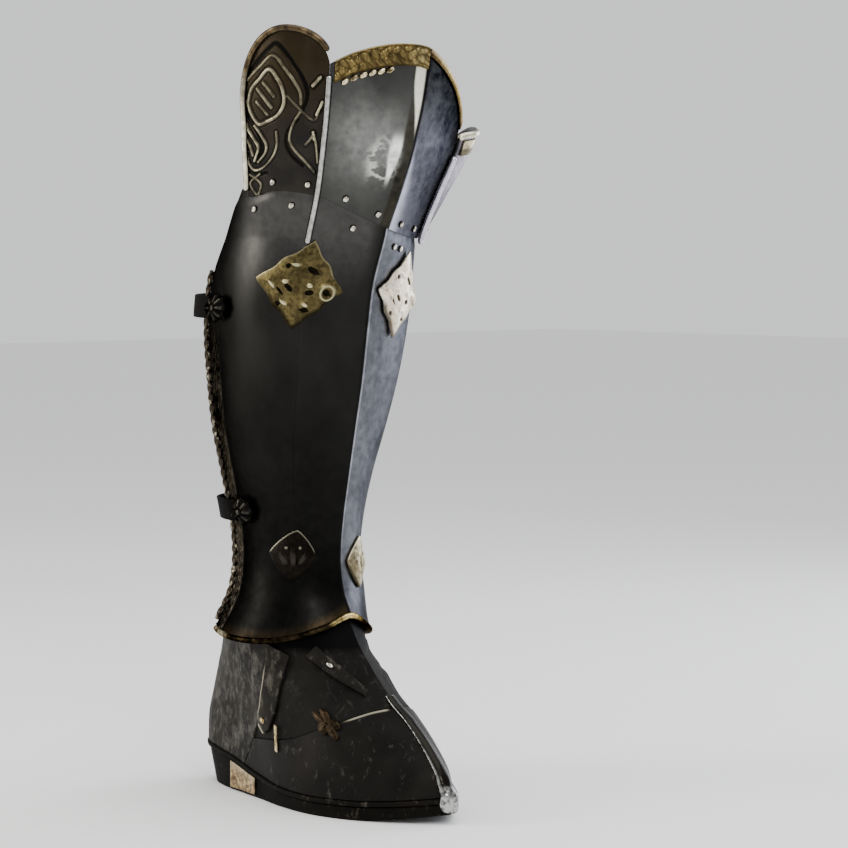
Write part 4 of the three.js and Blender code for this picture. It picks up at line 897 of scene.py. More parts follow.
brown_tones = (0.030, 0.021, 0.012), (0.115, 0.082, 0.042)
cream_tones = (0.50, 0.46, 0.34), (0.82, 0.78, 0.62)
RIM_FINISHES = {
    "outer": rolled_bronze("outer_rim_bronze", brown_tones, cream_tones, (0.15, 0.75)),
    "inner": rolled_bronze("inner_rim_bronze", cream_tones, brown_tones, (-0.5, 0.5)),
}
for name, sign in SIDES:
    edge = moved_aside(wing_face, wing_edge(sign, WINGS[name]), sign * (RIM_RADIUS - RIM_SEAT))
    path = along(wing_face, edge, RIM_RADIUS - STEEL_WALL)
    rim = lay_bar(path, RIM_RADIUS, 260)
    fit(f"wing_rim_{name}", rim, RIM_FINISHES[name], [f"rim_wing_{name}"])


# Bands: thin brass strips riveted under the top edges. The front outer one is cast with a row of worn leaves,
# and a string of slanting cast beads runs under it.
TRIM_SHEET, FRONT_BAND, EDGE_BAND, WING_BAND = 1.2, 16, 6, 11
BEAD_RADIUS, BEAD_TURNS, BEAD_COUNT = 2.4, (-42, -17), 6
BEAD_LEAN, BEAD_SEAT, BEAD_WIDE, BEAD_LONG, BEAD_DEEP = math.radians(38), 0.8, 2.0, 3.5, 2.3
RIB_CLEAR = 3.5 / DEGREE
LEAF_CROWN = 0.7


def aged_brass(
    name, gold, brown, soot_colour=(0.02, 0.014, 0.007), grime=(0.36, 0.56), rough=(0.24, 0.45),
    bare=(0.86, 0.76, 0.52), tint=(1, 1, 1),
):
    """Yellow brass, browned by age, bright on its high places and sooty in its low ones. Its worn and low
    marks also carry painted highlights and painted shade where a piece's marks paint them.
    """
    made = Finish(name, metallic=1.0, edge_tint=tint)
    cloud, spots = made.noise(85, 5), made.noise(330, 5)
    tone = made.blend(made.span(cloud, 0.38, 0.62), brown, gold)
    tone = made.blend(made.span(spots, *grime, 0.55, 0), tone, soot_colour)
    tone = made.blend(made.mark("low"), tone, soot_colour)
    made.colour(made.blend(made.mark("worn"), tone, bare))
    made.rough(made.span(spots, 0.3, 0.7, *rough))
    made.bump(spots, 0.3, 0.7)
    made.bump(cloud, 0.5, 0.4)
    return made.material


def leaves(turn, height):
    """Worn cast leaves, crowded and uneven, along the front band."""
    u, v = turn * DEGREE, height
    first = np.abs(np.sin(u * 0.42 + 1.5 * np.sin(v * 0.33)) * np.sin(v * 0.47 + 1.2 * np.sin(u * 0.27)))
    second = np.abs(np.sin(u * 0.95 - 0.8 * np.sin(v * 0.8) + v * 0.5))
    depth = (knee_top(turn) - height) / FRONT_BAND
    inside = ease(0.05, 0.2, depth) * ease(0.02, 0.16, 1 - depth)
    return LEAF_CROWN * (0.75 * first ** 0.7 + 0.35 * second * first ** 0.3) * inside


def band_wear(turn, height, share):
    crest = fall(1.0, 13, np.abs(turn + 1)) * 0.6
    high = (leaves(turn, height) / LEAF_CROWN) ** 2
    return np.clip(crest * (0.1 + 0.8 * high) + (share[:, 1] > 0.97) * 0.35 + high * 0.12, 0, 1)


def band_low(turn, height, share):
    return np.clip((1 - leaves(turn, height) / LEAF_CROWN * 1.6) * 0.75, 0, 1) * (share[:, 1] < 0.93)


front_brass = aged_brass(
    "front_band_brass", (0.185, 0.132, 0.042), (0.070, 0.048, 0.016),
    bare=(0.52, 0.41, 0.19), tint=(0.5, 0.4, 0.25),
)
edge_brass = aged_brass(
    "edge_band_brass", (0.34, 0.275, 0.16), (0.13, 0.092, 0.058),
    bare=(0.55, 0.46, 0.28), tint=(0.60, 0.52, 0.40),
)
ivory_brass = aged_brass("inner_band_brass", (0.70, 0.62, 0.42), (0.40, 0.33, 0.20))
low_edge = lambda turn, height, share: fall(0.35, 0.5, share[:, 1]) * 0.75
bright_edge = lambda turn, height, share: ease(0.55, 0.75, share[:, 1]) * 0.3
top_band = lambda width: wrapped(lambda turn: knee_top(turn) - width, knee_top)
LIFT = TRIM_GAP + TRIM_SHEET
band = lay_sheet(
    knee_face, (-JOIN_TURN + RIB_CLEAR, -0.3), top_band(FRONT_BAND), 220, 48, lift=LIFT, relief=leaves,
    marks={"worn": band_wear, "low": band_low},
)
fit("front_band_outer", band, front_brass, ["band_front_outer"], TRIM_SHEET)
band = lay_sheet(
    knee_face, (0.3, JOIN_TURN - RIB_CLEAR), top_band(EDGE_BAND), 80, 14, lift=LIFT,
    marks={"worn": bright_edge, "low": low_edge},
)
fit("front_band_inner", band, edge_brass, ["band_front_inner"], TRIM_SHEET, 0.3)
under_rim = lambda turn: lobe_top("inner")(turn) - RIM_RADIUS
band = lay_sheet(
    wing_face, (JOIN_TURN + RIB_CLEAR + 2, WING_TURN - 2),
    wrapped(lambda turn: under_rim(turn) - WING_BAND, under_rim), 70, 16, lift=LIFT,
    marks={"worn": bright_edge, "low": low_edge},
)
fit("wing_band_inner", band, ivory_brass, ["band_wing_inner"], TRIM_SHEET, 0.3)

bead_height = lambda turn: knee_top(turn) - FRONT_BAND - BUTT_GAP - BEAD_RADIUS
bead_steel = bright_steel("bead_steel", (0.80, 0.70, 0.44), (0.10, 0.075, 0.035))
bm = bmesh.new()
bm.loops.layers.uv.new("UVMap")
for k in range(BEAD_COUNT):
    turn = np.array([mix(*BEAD_TURNS, (k + 0.5) / BEAD_COUNT)])
    out = Vector(normal(knee_face, turn, bead_height(turn))[0])
    place = Vector(raised(knee_face, turn, bead_height(turn), TRIM_GAP + BEAD_RADIUS * BEAD_SEAT)[0])
    up = (Vector((0, 0, 1)) - out * out.z).normalized()
    aside = up.cross(out)
    long_way = aside * math.cos(BEAD_LEAN) + up * math.sin(BEAD_LEAN)
    wide_way = out.cross(long_way)
    axes = Matrix((wide_way * BEAD_WIDE, long_way * BEAD_LONG, out * BEAD_DEEP)).transposed().to_4x4()
    turned = Matrix.Translation(place * MM) @ Matrix.Scale(MM, 4) @ axes
    bmesh.ops.create_uvsphere(bm, u_segments=28, v_segments=16, radius=1, matrix=turned, calc_uvs=True)
fit("cast_beads", as_mesh("beads", bm), bead_steel, ["bead_row"])


# Mounts: four cast diamond plates, pinned over the joins. The upper two are brass, with worn knobs, pits and
# a ring. The lower outer one is dark bronze and the lower inner one pale brass, with leaves and two knobs.
MOUNT_EDGE, MOUNT_CROWN = 1.2, 2.8
LOWER_MOUNT_HEIGHT = HEM_HEIGHT + 64
LOWER_MOUNT_TALL, LOWER_MOUNT_WIDTH = 41, 38
INNER_MOUNT_TURN, INNER_MOUNT_DROP, INNER_MOUNT_SHARE, MOUNT_SEAT = 27, 8, 0.82, 1.7
KNOB_RISE, RING_RISE, LEAF_RISE = 1.5, 1.3, 1.3
BOSS_SHADE = 0.3  # how much of its marks a boss keeps on its side and back
RING_PLACE, RING_REACH, RING_HALF_WIDTH = (0.60, -0.18), 0.17, 0.055
TOP_SHARE, SIDE_SHARE, BACK_SHARE = 0.82, 0.08, 0.1  # of a boss's grid, for its face, its side and its back
# place across and up as shares of the mount's half sizes, half length, half width, lean, rise or depth
KNOBS = [
    (-0.14, 0.47, 0.13, 0.055, -12, 1), (-0.60, 0.02, 0.17, 0.045, -48, 1),
    (-0.31, 0.09, 0.085, 0.075, 0, 1), (0.16, 0.0, 0.105, 0.075, -15, 1),
    (-0.32, -0.40, 0.13, 0.06, -38, 1), (0.08, -0.45, 0.11, 0.065, -30, 1),
    (-0.31, 0.44, 0.07, 0.06, 0, -1), (0.22, 0.33, 0.17, 0.07, -32, -1),
    (-0.24, -0.06, 0.12, 0.06, -45, -1), (0.17, -0.17, 0.11, 0.065, 0, -1),
    (-0.46, -0.42, 0.07, 0.05, -30, -1), (0.09, -0.58, 0.11, 0.05, -10, -1),
    (0.60, -0.18, 0.10, 0.08, -35, -1), (-0.44, -0.12, 0.15, 0.035, -48, -1),
]


def lay_boss(
    surface, turn, height, outline, thick, lift=TRIM_GAP, rings=50, around=128, relief=None, marks=None,
):
    """A closed plate on a surface: outline gives its reach at an angle, thick its height at a share of it."""
    def shape(share):
        angle = share[:, 1] * 2 * math.pi
        out_way, back_way = share[:, 0] / TOP_SHARE, (1 - share[:, 0]) / BACK_SHARE
        part = np.clip(np.minimum(out_way, back_way), 0, 1)
        top = out_way < 1.0001
        side = np.clip((share[:, 0] - TOP_SHARE) / SIDE_SHARE, 0, 1)
        reach = part * outline(angle)
        x, y = reach * np.cos(angle), reach * np.sin(angle)
        raise_by = thick(part) + (relief(x, y, part) if relief else 0)
        up = np.where(top, raise_by, thick(np.ones(len(part))) * (1 - side))
        middle = np.full(len(share), float(turn)), np.full(len(share), float(height))
        two_turns = surface(middle[0] + 1, middle[1]) - surface(middle[0] - 1, middle[1])
        step = np.linalg.norm(two_turns, axis=-1) / 2
        places = raised(surface, middle[0] + x / step, middle[1] + y, lift + up)
        return places, {
            name: mark(x, y, part) * np.where(top, 1, BOSS_SHADE) for name, mark in (marks or {}).items()
        }
    return shaped_grid(rings, around, shape, merge=0.004, closed=True)


def diamond(half_width, half_tall, tilt, power, waves):
    """Outline of a leaning diamond; the power rounds its corners and the waves scallop its sides."""
    def outline(angle):
        own = angle + tilt
        slope = (np.abs(np.cos(own)) / half_width) ** power + (np.abs(np.sin(own)) / half_tall) ** power
        return (1 + waves * np.cos(8 * own)) / slope ** (1 / power)
    return outline


def knobs(half_width, half_tall):
    """Relief of the upper mounts: worn knobs and pits on a plain field, and a ring at one side."""
    def relief(x, y, part):
        a, b = x / half_width, y / half_tall
        up = np.zeros(len(x))
        for across, high, long_way, wide_way, lean, rise in KNOBS:
            c, s = math.cos(math.radians(lean)), math.sin(math.radians(lean))
            u = ((a - across) * c + (b - high) * s) / long_way
            v = ((b - high) * c - (a - across) * s) / wide_way
            up = up + rise * KNOB_RISE * np.sqrt(np.clip(1 - u * u - v * v, 0, 1))
        far = np.hypot(a - RING_PLACE[0], b - RING_PLACE[1])
        ring = np.exp(-(((far - RING_REACH) / RING_HALF_WIDTH) ** 2))
        return np.maximum(up, RING_RISE * ring * (up >= 0)) + up * (up < 0)
    return relief


def leaf_group(half_width, half_tall):
    """Relief of the lower mounts: an upright leaf between two leaning ones, and two knobs over them."""
    def relief(x, y, part):
        a, b = x / half_width, y / half_tall
        up = np.clip(1 - (a / 0.12) ** 2 - ((b + 0.10) / 0.42) ** 2, 0, 1)
        for side in (-1, 1):
            u, v = (a - side * 0.34) * side, b + 0.14
            leaf = 1 - ((u * 0.85 - v * 0.53) / 0.15) ** 2 - ((u * 0.53 + v * 0.85) / 0.33) ** 2
            knob = 1 - np.hypot(u + 0.09, v - 0.46) ** 2 / 0.09**2
            up = np.maximum(up, np.maximum(leaf, knob))
        return np.sqrt(np.clip(up, 0, 1)) * LEAF_RISE
    return relief


def boss_marks(relief, high):
    """Marks of a cast relief: worn on its heights and sooty in its pits."""
    return {
        "worn": lambda x, y, part: ease(0.62, 1.0, relief(x, y, part) / high) * 0.9,
        "low": lambda x, y, part: fall(-0.55, -0.05, relief(x, y, part) / high),
    }


def lit_edge_marks(relief, high, half_tall, bright):
    """The same, with painted highlights on the two upper edges and painted shade on the lower rim."""
    marks = boss_marks(relief, high)
    return {
        "worn": lambda x, y, part: np.maximum(
            marks["worn"](x, y, part), ease(0.93, 0.97, part) * ease(0.05, 0.25, y / half_tall) * bright
        ),
        "low": lambda x, y, part: np.maximum(
            marks["low"](x, y, part), ease(0.80, 0.96, part) * ease(0.0, 0.3, -y / half_tall) * 0.9
        ),
    }


def leaf_wear_and_highlight(relief, marks, tall):
    """Worn marks of the lower mounts: the rim's painted highlight as it was, and wear on the knobs more than
    on the leaves.
    """
    heights, rim = boss_marks(relief, LEAF_RISE)["worn"], marks["worn"]
    return lambda x, y, part: np.where(
        part > 0.92, rim(x, y, part), heights(x, y, part) * np.where(y > tall * 0.1, 0.8, 0.12)
    )


mount_finishes = {
    ("upper", "outer"): aged_brass(
        "mount_brass", (0.130, 0.102, 0.040), (0.060, 0.047, 0.019), soot_colour=(0.006, 0.005, 0.003),
        bare=(0.60, 0.55, 0.32),
    ),
    ("upper", "inner"): aged_brass(
        "inner_mount_brass", (0.84, 0.76, 0.62), (0.62, 0.52, 0.38), soot_colour=(0.04, 0.032, 0.02),
        grime=(0.28, 0.46),
    ),
    ("lower", "outer"): aged_brass(
        "mount_bronze", (0.0115, 0.0090, 0.0065), (0.0065, 0.0053, 0.0042),
        soot_colour=(0.004, 0.0035, 0.003), bare=(0.20, 0.185, 0.14),
    ),
    ("lower", "inner"): aged_brass(
        "inner_lower_mount_brass", (0.40, 0.35, 0.22), (0.20, 0.165, 0.095), soot_colour=(0.03, 0.024, 0.015),
    ),
}
MOUNT_SIDES = (
    ("outer", 1, -JOIN_TURN, 0), ("inner", INNER_MOUNT_SHARE, INNER_MOUNT_TURN, INNER_MOUNT_DROP),
)
mount_rise = lambda part: MOUNT_EDGE + MOUNT_CROWN * (1 - part**2)
for level, width, tall, height, relief_of, slot, rim_highlight, (tilt, power, waves) in (
    ("upper", UPPER_MOUNT_WIDTH, UPPER_MOUNT_TALL, UPPER_MOUNT_HEIGHT, knobs, "aged_brass", 0.2,
     (9, 1.06, 0.035)),
    ("lower", LOWER_MOUNT_WIDTH, LOWER_MOUNT_TALL, LOWER_MOUNT_HEIGHT, leaf_group, "dark_bronze", 0.8,
     (7, 1.25, 0.0)),
):
    for name, share, turn, drop in MOUNT_SIDES:
        half = width / 2 * share
        relief = relief_of(half, tall / 2)
        # The mounts' marks paint highlights on their upper edges and shade on their lower rims.
        marks = lit_edge_marks(relief, KNOB_RISE, tall / 2, rim_highlight)
        if level == "lower":
            marks["worn"] = leaf_wear_and_highlight(relief, marks, tall)
        seat = MOUNT_SEAT if (level, name) == ("upper", "inner") else TRIM_GAP
        outline = diamond(half, tall / 2, math.radians(tilt), power, waves)
        plate = lay_boss(
            leg, turn, height - drop, outline, mount_rise, seat, rings=100, around=240,
            relief=relief, marks=marks,
        )
        finish = mount_finishes[level, name]
        fit(f"diamond_mount_{level}_{name}", plate, finish, [f"mount_{level}_{name}"])


# Back edges and hem: the greave's back edges are rolled and filed like rope, in dark bronze. A brass roll
# closes the hem.
ROPE_RADIUS, ROPE_LAY, ROPE_LOBES, ROPE_CUT = 2.7, 26, 3, 0.30
HEM_ROLL_RADIUS, HEM_LAY, HEM_LOBES, HEM_CUT, HEM_ROLL_RISE = 2.5, 11, 2, 0.07, 0.6


def rubbed_bronze(name, dark, brown, pale, share):
    """Dark bronze, rubbed through to pale metal where the noise says."""
    made = Finish(name, metallic=0.95)
    tone = made.blend(made.noise(70, 4), dark, brown)
    made.colour(made.blend(made.span(made.noise(190, 5), *share), tone, pale))
    return as_cast(made)


rope_bronze = rubbed_bronze(
    "rope_bronze", (0.014, 0.011, 0.008), (0.055, 0.043, 0.029), (0.42, 0.37, 0.27), (0.55, 0.70)
)
for name, sign in SIDES:
    clear = ROPE_RADIUS + BUTT_GAP

    def edge(s):
        height = mix(hem(sign * BACK_TURN) + clear, shin_top(sign * BACK_TURN) - clear, s)
        behind = np.full(s.shape, sign * float(BACK_TURN))
        return behind + sign * clear / per_turn(leg, behind, height), height
    path = along(leg, edge, ROPE_RADIUS - STEEL_WALL)
    rope = lay_bar(path, ROPE_RADIUS, 900, around=28, twist=(ROPE_LAY, ROPE_LOBES, ROPE_CUT))
    fit(f"rope_edge_{name}", rope, rope_bronze, [f"edge_roll_{name}"])

hem_brass = Finish("hem_brass", metallic=1.0, edge_tint=(0.30, 0.24, 0.14))
hem_patches = hem_brass.span(hem_brass.noise(150, 5), 0.42, 0.6)
hem_way = hem_brass.mark("way")
before_keel, past_keel = hem_brass.span(hem_way, 0.42, 0.485), hem_brass.span(hem_way, 0.56, 0.5)
# Painted highlight: the roll on either side of the keel is painted bright gold.
front_glint = hem_brass.math("MULTIPLY", before_keel, past_keel)
outer_end = hem_brass.span(hem_way, 0.10, 0.02)
hem_tone = hem_brass.blend(hem_patches, (0.004, 0.003, 0.002), (0.022, 0.015, 0.007))
for place, dark, pale in (
    (front_glint, (0.16, 0.11, 0.035), (0.70, 0.54, 0.22)),
    (outer_end, (0.10, 0.08, 0.045), (0.74, 0.68, 0.50)),
):
    hem_tone = hem_brass.blend(place, hem_tone, hem_brass.blend(hem_patches, dark, pale))
hem_brass.colour(hem_tone)
hem_brass.rough(0.32)
hem_brass.bump(hem_brass.noise(420, 4), 0.15, 0.6)


def hem_line(s):
    turn = mix(-BACK_TURN, BACK_TURN, s)
    return turn, hem(turn) - HEM_ROLL_RADIUS + HEM_ROLL_RISE


hem_path = along(leg, hem_line, -STEEL_WALL / 2)
roll = lay_bar(hem_path, HEM_ROLL_RADIUS, 700, around=24, twist=(HEM_LAY, HEM_LOBES, HEM_CUT))
fit("brass_hem", roll, hem_brass.material, ["hem_roll"])


# Rivets: domed steel heads, polished by wear, in two rows along both sides of the knee seam. They hold the
# knee plate and the wings on the tops of the shin plates.
RIVET_RADIUS, RIVET_HEIGHT, RIVET_INSET, RIVET_SEAT = 2.6, 1.7, 7, TRIM_GAP * 0.4
RIVET_RINGS, RIVET_AROUND = 14, 32
KNEE_RIVETS = [-72, -52.5, -31, -9.5, 11, 31, 56, 80]
SHIN_RIVETS = [-83, -60, -22, 12, 20, 70]

dome = lambda part: RIVET_HEIGHT * np.sqrt(np.clip(1.0001 - part**2, 0, 1))
# The rivet heads take painted shade in a dark ring round their foot.
rivet_steel = bright_steel("rivet_steel", (0.72, 0.68, 0.56), (0.12, 0.105, 0.08), shaded=(0.22, 0.60))
rivet_marks = {"top": lambda x, y, part: 1 - part**2}
round_head = lambda angle: np.full(angle.shape, RIVET_RADIUS)
for row, turns, up in (
    ("knee", KNEE_RIVETS, RIVET_INSET),
    ("shin", SHIN_RIVETS, -(SEAM_OVERLAP + RIVET_INSET) / 2),
):
    for k, turn in enumerate(turns, 1):
        on = leg if row == "shin" else (wing_face if abs(turn) > JOIN_TURN else knee_face)
        head = lay_boss(
            on, turn, float(seam(turn)) + up, round_head, dome, RIVET_SEAT, RIVET_RINGS, RIVET_AROUND,
            marks=rivet_marks,
        )
        fit(f"{row}_rivet_{k}", head, rivet_steel, [f"rivet_{row}_{k}"])


# Straps: two black leather straps close the open back. Each is riveted under a bronze rosette on the outer
# side and held by a plain steel buckle on the inner side.
STRAP_WIDTH, STRAP_THICKNESS, STRAP_SEAT = 17, 2.5, 1.1
ROSETTE_DOME, BUCKLE_TURN, BUCKLE_WIRE, BUCKLE_SPAN = 4, 92, 3, 22
FRAME_RADIUS, PRONG_RADIUS, PRONG_LIFT = 1.3, 1.2, 1.6
# height, the rosette's radius, and its turn on the outer side
STRAPS = {"upper": (SEAM_HEIGHT - 68, 10.5, 97), "lower": (HEM_HEIGHT + 98, 11, 90)}


def folded(turn):
    """Turn from the keel on either side, also where it runs on past the back."""
    return np.minimum(np.abs(turn), 360 - np.abs(turn))


def strap_seat(turn, height):
    """The strap's underside, which rises over the rolled back edges."""
    lift = STRAP_SEAT + (2 * ROPE_RADIUS - STEEL_WALL) * ease(BACK_TURN - 16, BACK_TURN - 6, folded(turn))
    return raised(leg, turn, height, lift)


def strap_top(turn, height):
    return raised(strap_seat, turn, height, STRAP_THICKNESS)


def turns_of(surface, turn, height, length):
    """Degrees of turn that a length takes up on a surface."""
    return length / float(per_turn(surface, np.array([float(turn)]), np.array([float(height)]))[0])


def level_edge(height):
    """An edge that keeps one height."""
    return lambda turn: height + 0 * turn


def squared(value):
    """A circle's sine or cosine, bent towards a square's."""
    return np.sign(value) * np.abs(value) ** 0.5


def leather(
    name, dark, pale, scuff=(0.10, 0.098, 0.092), scuffed=(0.62, 0.78), rough=(0.34, 0.58), shine=0.035,
):
    """Waxed leather: fine grain, uneven gloss, and pale scuffs in short streaks."""
    made = Finish(name)
    made.shader.inputs["Specular IOR Level"].default_value = shine
    cloud = made.noise(22, 5)
    streak = made.noise(60, 6, (1.0, 3.2, 1.6), rough=0.7)
    cross = made.noise(48, 6, (3.4, 1.2, 1.0), rough=0.7, shift=(3, 1, 2))
    tone = made.blend(made.span(cloud, 0.35, 0.7), dark, pale)
    rubbed = made.math("MAXIMUM", made.span(streak, *scuffed), made.span(cross, *scuffed))
    tone = made.blend(made.math("MULTIPLY", rubbed, 0.7), tone, scuff)
    tone = made.blend(made.mark("edge"), tone, (0.34, 0.31, 0.23))
    made.colour(made.blend(made.mark("shade"), tone, (0.0006, 0.0006, 0.0006)))
    made.rough(made.span(made.math("ADD", cloud, made.math("MULTIPLY", rubbed, 0.4)), 0.35, 1.0, *rough))
    made.bump(made.cells(900), 0.10, 0.5)
    made.bump(streak, 0.25, 0.4)
    made.bump(cloud, 0.9, 0.4)
    return made.material


strap_leather = leather(
    "strap_leather", (0.0030, 0.0028, 0.0025), (0.007, 0.0063, 0.0055), rough=(0.55, 0.8), shine=0.01
)
rosette_bronze = aged_brass(
    "rosette_bronze", (0.008, 0.007, 0.006), (0.005, 0.0045, 0.004), soot_colour=(0.003, 0.003, 0.003),
    bare=(0.060, 0.056, 0.046), tint=(0.25, 0.25, 0.25),
)
buckle_steel = bright_steel("buckle_steel", (0.42, 0.41, 0.38), (0.12, 0.115, 0.105))


def petals(x, y, part):
    angle = np.arctan2(y, x)
    leaf = np.abs(np.cos(4 * angle)) ** 0.7 * ease(0.28, 0.42, part) * fall(0.86, 0.98, part)
    knob = np.sqrt(np.clip(1 - (part / 0.26) ** 2, 0, 1)) * 1.4
    return np.maximum(leaf, knob)


for level, (height, radius, rosette_turn) in STRAPS.items():
    start = -rosette_turn + turns_of(leg, rosette_turn, height, radius * 0.6)
    end = BUCKLE_TURN - 360 - turns_of(leg, BUCKLE_TURN, height, BUCKLE_SPAN)
    edges = wrapped(level_edge(height - STRAP_WIDTH / 2), level_edge(height + STRAP_WIDTH / 2))
    strap = lay_sheet(strap_seat, (end, start), edges, 260, 14, lift=STRAP_THICKNESS)
    fit(
        f"leather_strap_{level}", strap, strap_leather, [f"strap_{level}"],
        STRAP_THICKNESS, 0.6, 3,
    )
    scallop = lambda angle: radius * (1 + 0.05 * np.cos(8 * angle))
    rise = lambda part: MOUNT_EDGE + ROSETTE_DOME * (1 - part**2)
    rosette = lay_boss(
        strap_top, -rosette_turn, height, scallop, rise, relief=petals, marks=boss_marks(petals, 1.2),
    )
    fit(f"strap_rosette_{level}", rosette, rosette_bronze, [f"rosette_{level}"])

    step = 1 / turns_of(strap_top, BUCKLE_TURN - 360, height, 1)
    wire = BUCKLE_WIRE / 2

    def frame_line(s):
        angle = s * 2 * math.pi
        x = squared(np.cos(angle)) * (BUCKLE_SPAN / 2 - wire)
        y = squared(np.sin(angle)) * (STRAP_WIDTH / 2 + wire)
        return BUCKLE_TURN - 360 + x / step, height + y

    def prong_line(s):
        reach = (BUCKLE_SPAN / 2 - 1) / step
        return BUCKLE_TURN - 360 + mix(-reach, reach, s), np.full(s.shape, float(height))
    bm = bmesh.new()
    for line, lift, thick, steps, closed in (
        (frame_line, FRAME_RADIUS, FRAME_RADIUS, 120, True),
        (prong_line, PRONG_LIFT, PRONG_RADIUS, 40, False),
    ):
        bm.from_mesh(lay_bar(along(strap_top, line, TRIM_GAP + lift), thick, steps, around=14, closed=closed))
    fit(f"steel_buckle_{level}", as_mesh("buckle", bm), buckle_steel, [f"buckle_{level}"])


# Boot uppers: black waxed leather drawn over a last: a toe cap stitched over the vamp, a rougher grey quarter
# round the heel lapped and stitched over both, and a plain shaft inside the greave.
LEATHER = 2.5
TOE_REACH, HEEL_REACH = 178, 94
BALL_WIDTH, ANKLE_WIDTH, ANKLE_HEIGHT, FOOT_TOP, SHAFT_TOP = 110, 92, 120, 160, 314
HEEL_SOLE, TOE_SPRING, WELT_THICKNESS, WELT_LEDGE = 36, 7, 4, 3
QUARTER_TURN, QUARTER_LEAN_TURN, QUARTER_PROUD = 111, 50, 1.5
CAP_PEAK, CAP_PROUD = 82, 1.2
SHAFT_CLEARANCE, ROLL_CLEARANCE = 0.8, 1.3
FOOT = [(0, 0), (15, 0.13), (30, 0.38), (45, 0.65), (60, 0.88), (75, 1), (90, 0.96), (105, 0.83), (120, 0.72),
        (135, 0.66), (150, 0.57), (165, 0.36), (180, 0)]
# height as a share of the ankle's: toe reach, heel reach, fullness, likeness to the ankle
FOOT_LEVELS = [
    (0.1, 1, 0.98, 1, 0), (0.2, 0.985, 0.99, 1, 0.02), (0.31, 0.955, 1, 0.985, 0.05),
    (0.48, 0.85, 1, 0.95, 0.15), (0.61, 0.745, 0.97, 0.9, 0.35), (0.7, 0.65, 0.945, 0.86, 0.52),
    (0.84, 0.54, 0.89, 0.84, 0.78), (0.925, 0.485, 0.85, 0.84, 0.92), (1.075, 0.4, 0.79, 0.84, 1),
    (1.34, 0.3, 0.7, 0.84, 1),
]
# station along the sole: top as a share of the heel's, spring as a share of the toe's
SOLE = [
    (0, 0.55, 1), (0.1, 0.47, 0.5), (0.22, 0.41, 0), (0.48, 0.42, 0), (0.66, 0.58, 0), (0.82, 0.82, 0),
    (1, 1, 0),
]
CAP_EDGE = [(0, 1), (30, 0.95), (55, 0.84), (80, 0.66), (110, 0.56)]


def station(turn):
    """Share of the foot's length behind the toe."""
    return (1 - np.cos(np.radians(np.abs(turn)))) / 2


def foot(turn, height):
    toe, heel, full, ankle = np.moveaxis(through(FOOT_LEVELS, height / ANKLE_HEIGHT), -1, 0)
    flank = np.minimum(np.abs(turn) / JOIN_TURN, 1)
    round_side = ANKLE_WIDTH / 2 * np.sin(np.radians(np.maximum(np.abs(turn), JOIN_TURN))) * flank
    along = np.where(np.abs(turn) < JOIN_TURN, station(JOIN_TURN) * flank, station(turn))
    half = mix(BALL_WIDTH / 2 * curve(FOOT, np.abs(turn)) * full, round_side, ankle)
    y = mix(-TOE_REACH * toe, HEEL_REACH * heel, mix(station(turn), along, ankle))
    return np.stack([np.where(turn < 0, -half, half), y, height + 0 * half], -1)


def falls_short(test, top, count, rounds):
    """The greatest turn from 0 to top at which the test still finds that it falls short."""
    low, high = np.zeros(count), np.full(count, float(top))
    for _ in range(rounds):
        middle = (low + high) / 2
        short = test(middle)
        low, high = np.where(short, middle, low), np.where(short, high, middle)
    return low


def boot(turn, height):
    """The foot's outline, kept inside the greave where the greave comes down over it."""
    turn, height = np.broadcast_arrays(np.asarray(turn, float), np.asarray(height, float))
    turn = np.where(turn > 180, turn - 360, turn)
    point = foot(turn, height)
    near = height > HEM_HEIGHT - 3 * HEM_ARCH
    if near.any():
        part, level, own = point[near], height[near], turn[near]
        heading = np.arctan2(np.abs(part[:, 0]), -part[:, 1])

        def before(around):
            shell = leg(around, level)
            return np.arctan2(shell[:, 0], -shell[:, 1]) < heading
        around = falls_short(before, 180, len(part), 20)
        shell = leg(around, level)
        inset = STEEL_WALL + SHAFT_CLEARANCE + QUARTER_PROUD + ROLL_CLEARANCE
        room = np.hypot(shell[:, 0], shell[:, 1]) - inset
        edge = hem(np.where(own < 0, -around, around))
        under = ease(edge - 2 * HEM_ARCH, edge - 3 * HEM_ROLL_RADIUS, level)
        share = mix(1, np.minimum(1, room / np.hypot(part[:, 0], part[:, 1])), under)
        point[near] = part * np.stack([share, share, np.ones(len(part))], -1)
    return point


def spread(surface, turn, height, lift):
    """The surface moved outwards level, so that it keeps its height."""
    out = normal(surface, turn, height)
    out[..., 2] = 0
    out /= np.linalg.norm(out, axis=-1, keepdims=True)
    return surface(turn, height) + out * np.asarray(lift)[..., None]


def sole_top(turn):
    return HEEL_SOLE * curve(SOLE, station(turn))


def cap_edge(turn):
    return CAP_PEAK * curve(CAP_EDGE, folded(turn))


def quarter_edge(height):
    return QUARTER_TURN - QUARTER_LEAN_TURN * (height - HEEL_SOLE) / (FOOT_TOP - HEEL_SOLE)


def creases(turn, height):
    """Soft folds where the foot bends, over the instep and behind the ankle."""
    out = np.zeros(turn.shape)
    for level, lean, deep in ((98, 0.10, 0.7), (107, -0.06, 0.55), (116, 0.12, 0.6)):
        off = height - level - lean * turn - 1.6 * np.sin(turn * 0.11 + level)
        around = ease(8, 22, np.abs(turn)) * fall(45, 95, np.abs(turn))
        out = out - deep * np.exp(-((off / 2.2) ** 2)) * around
    return out


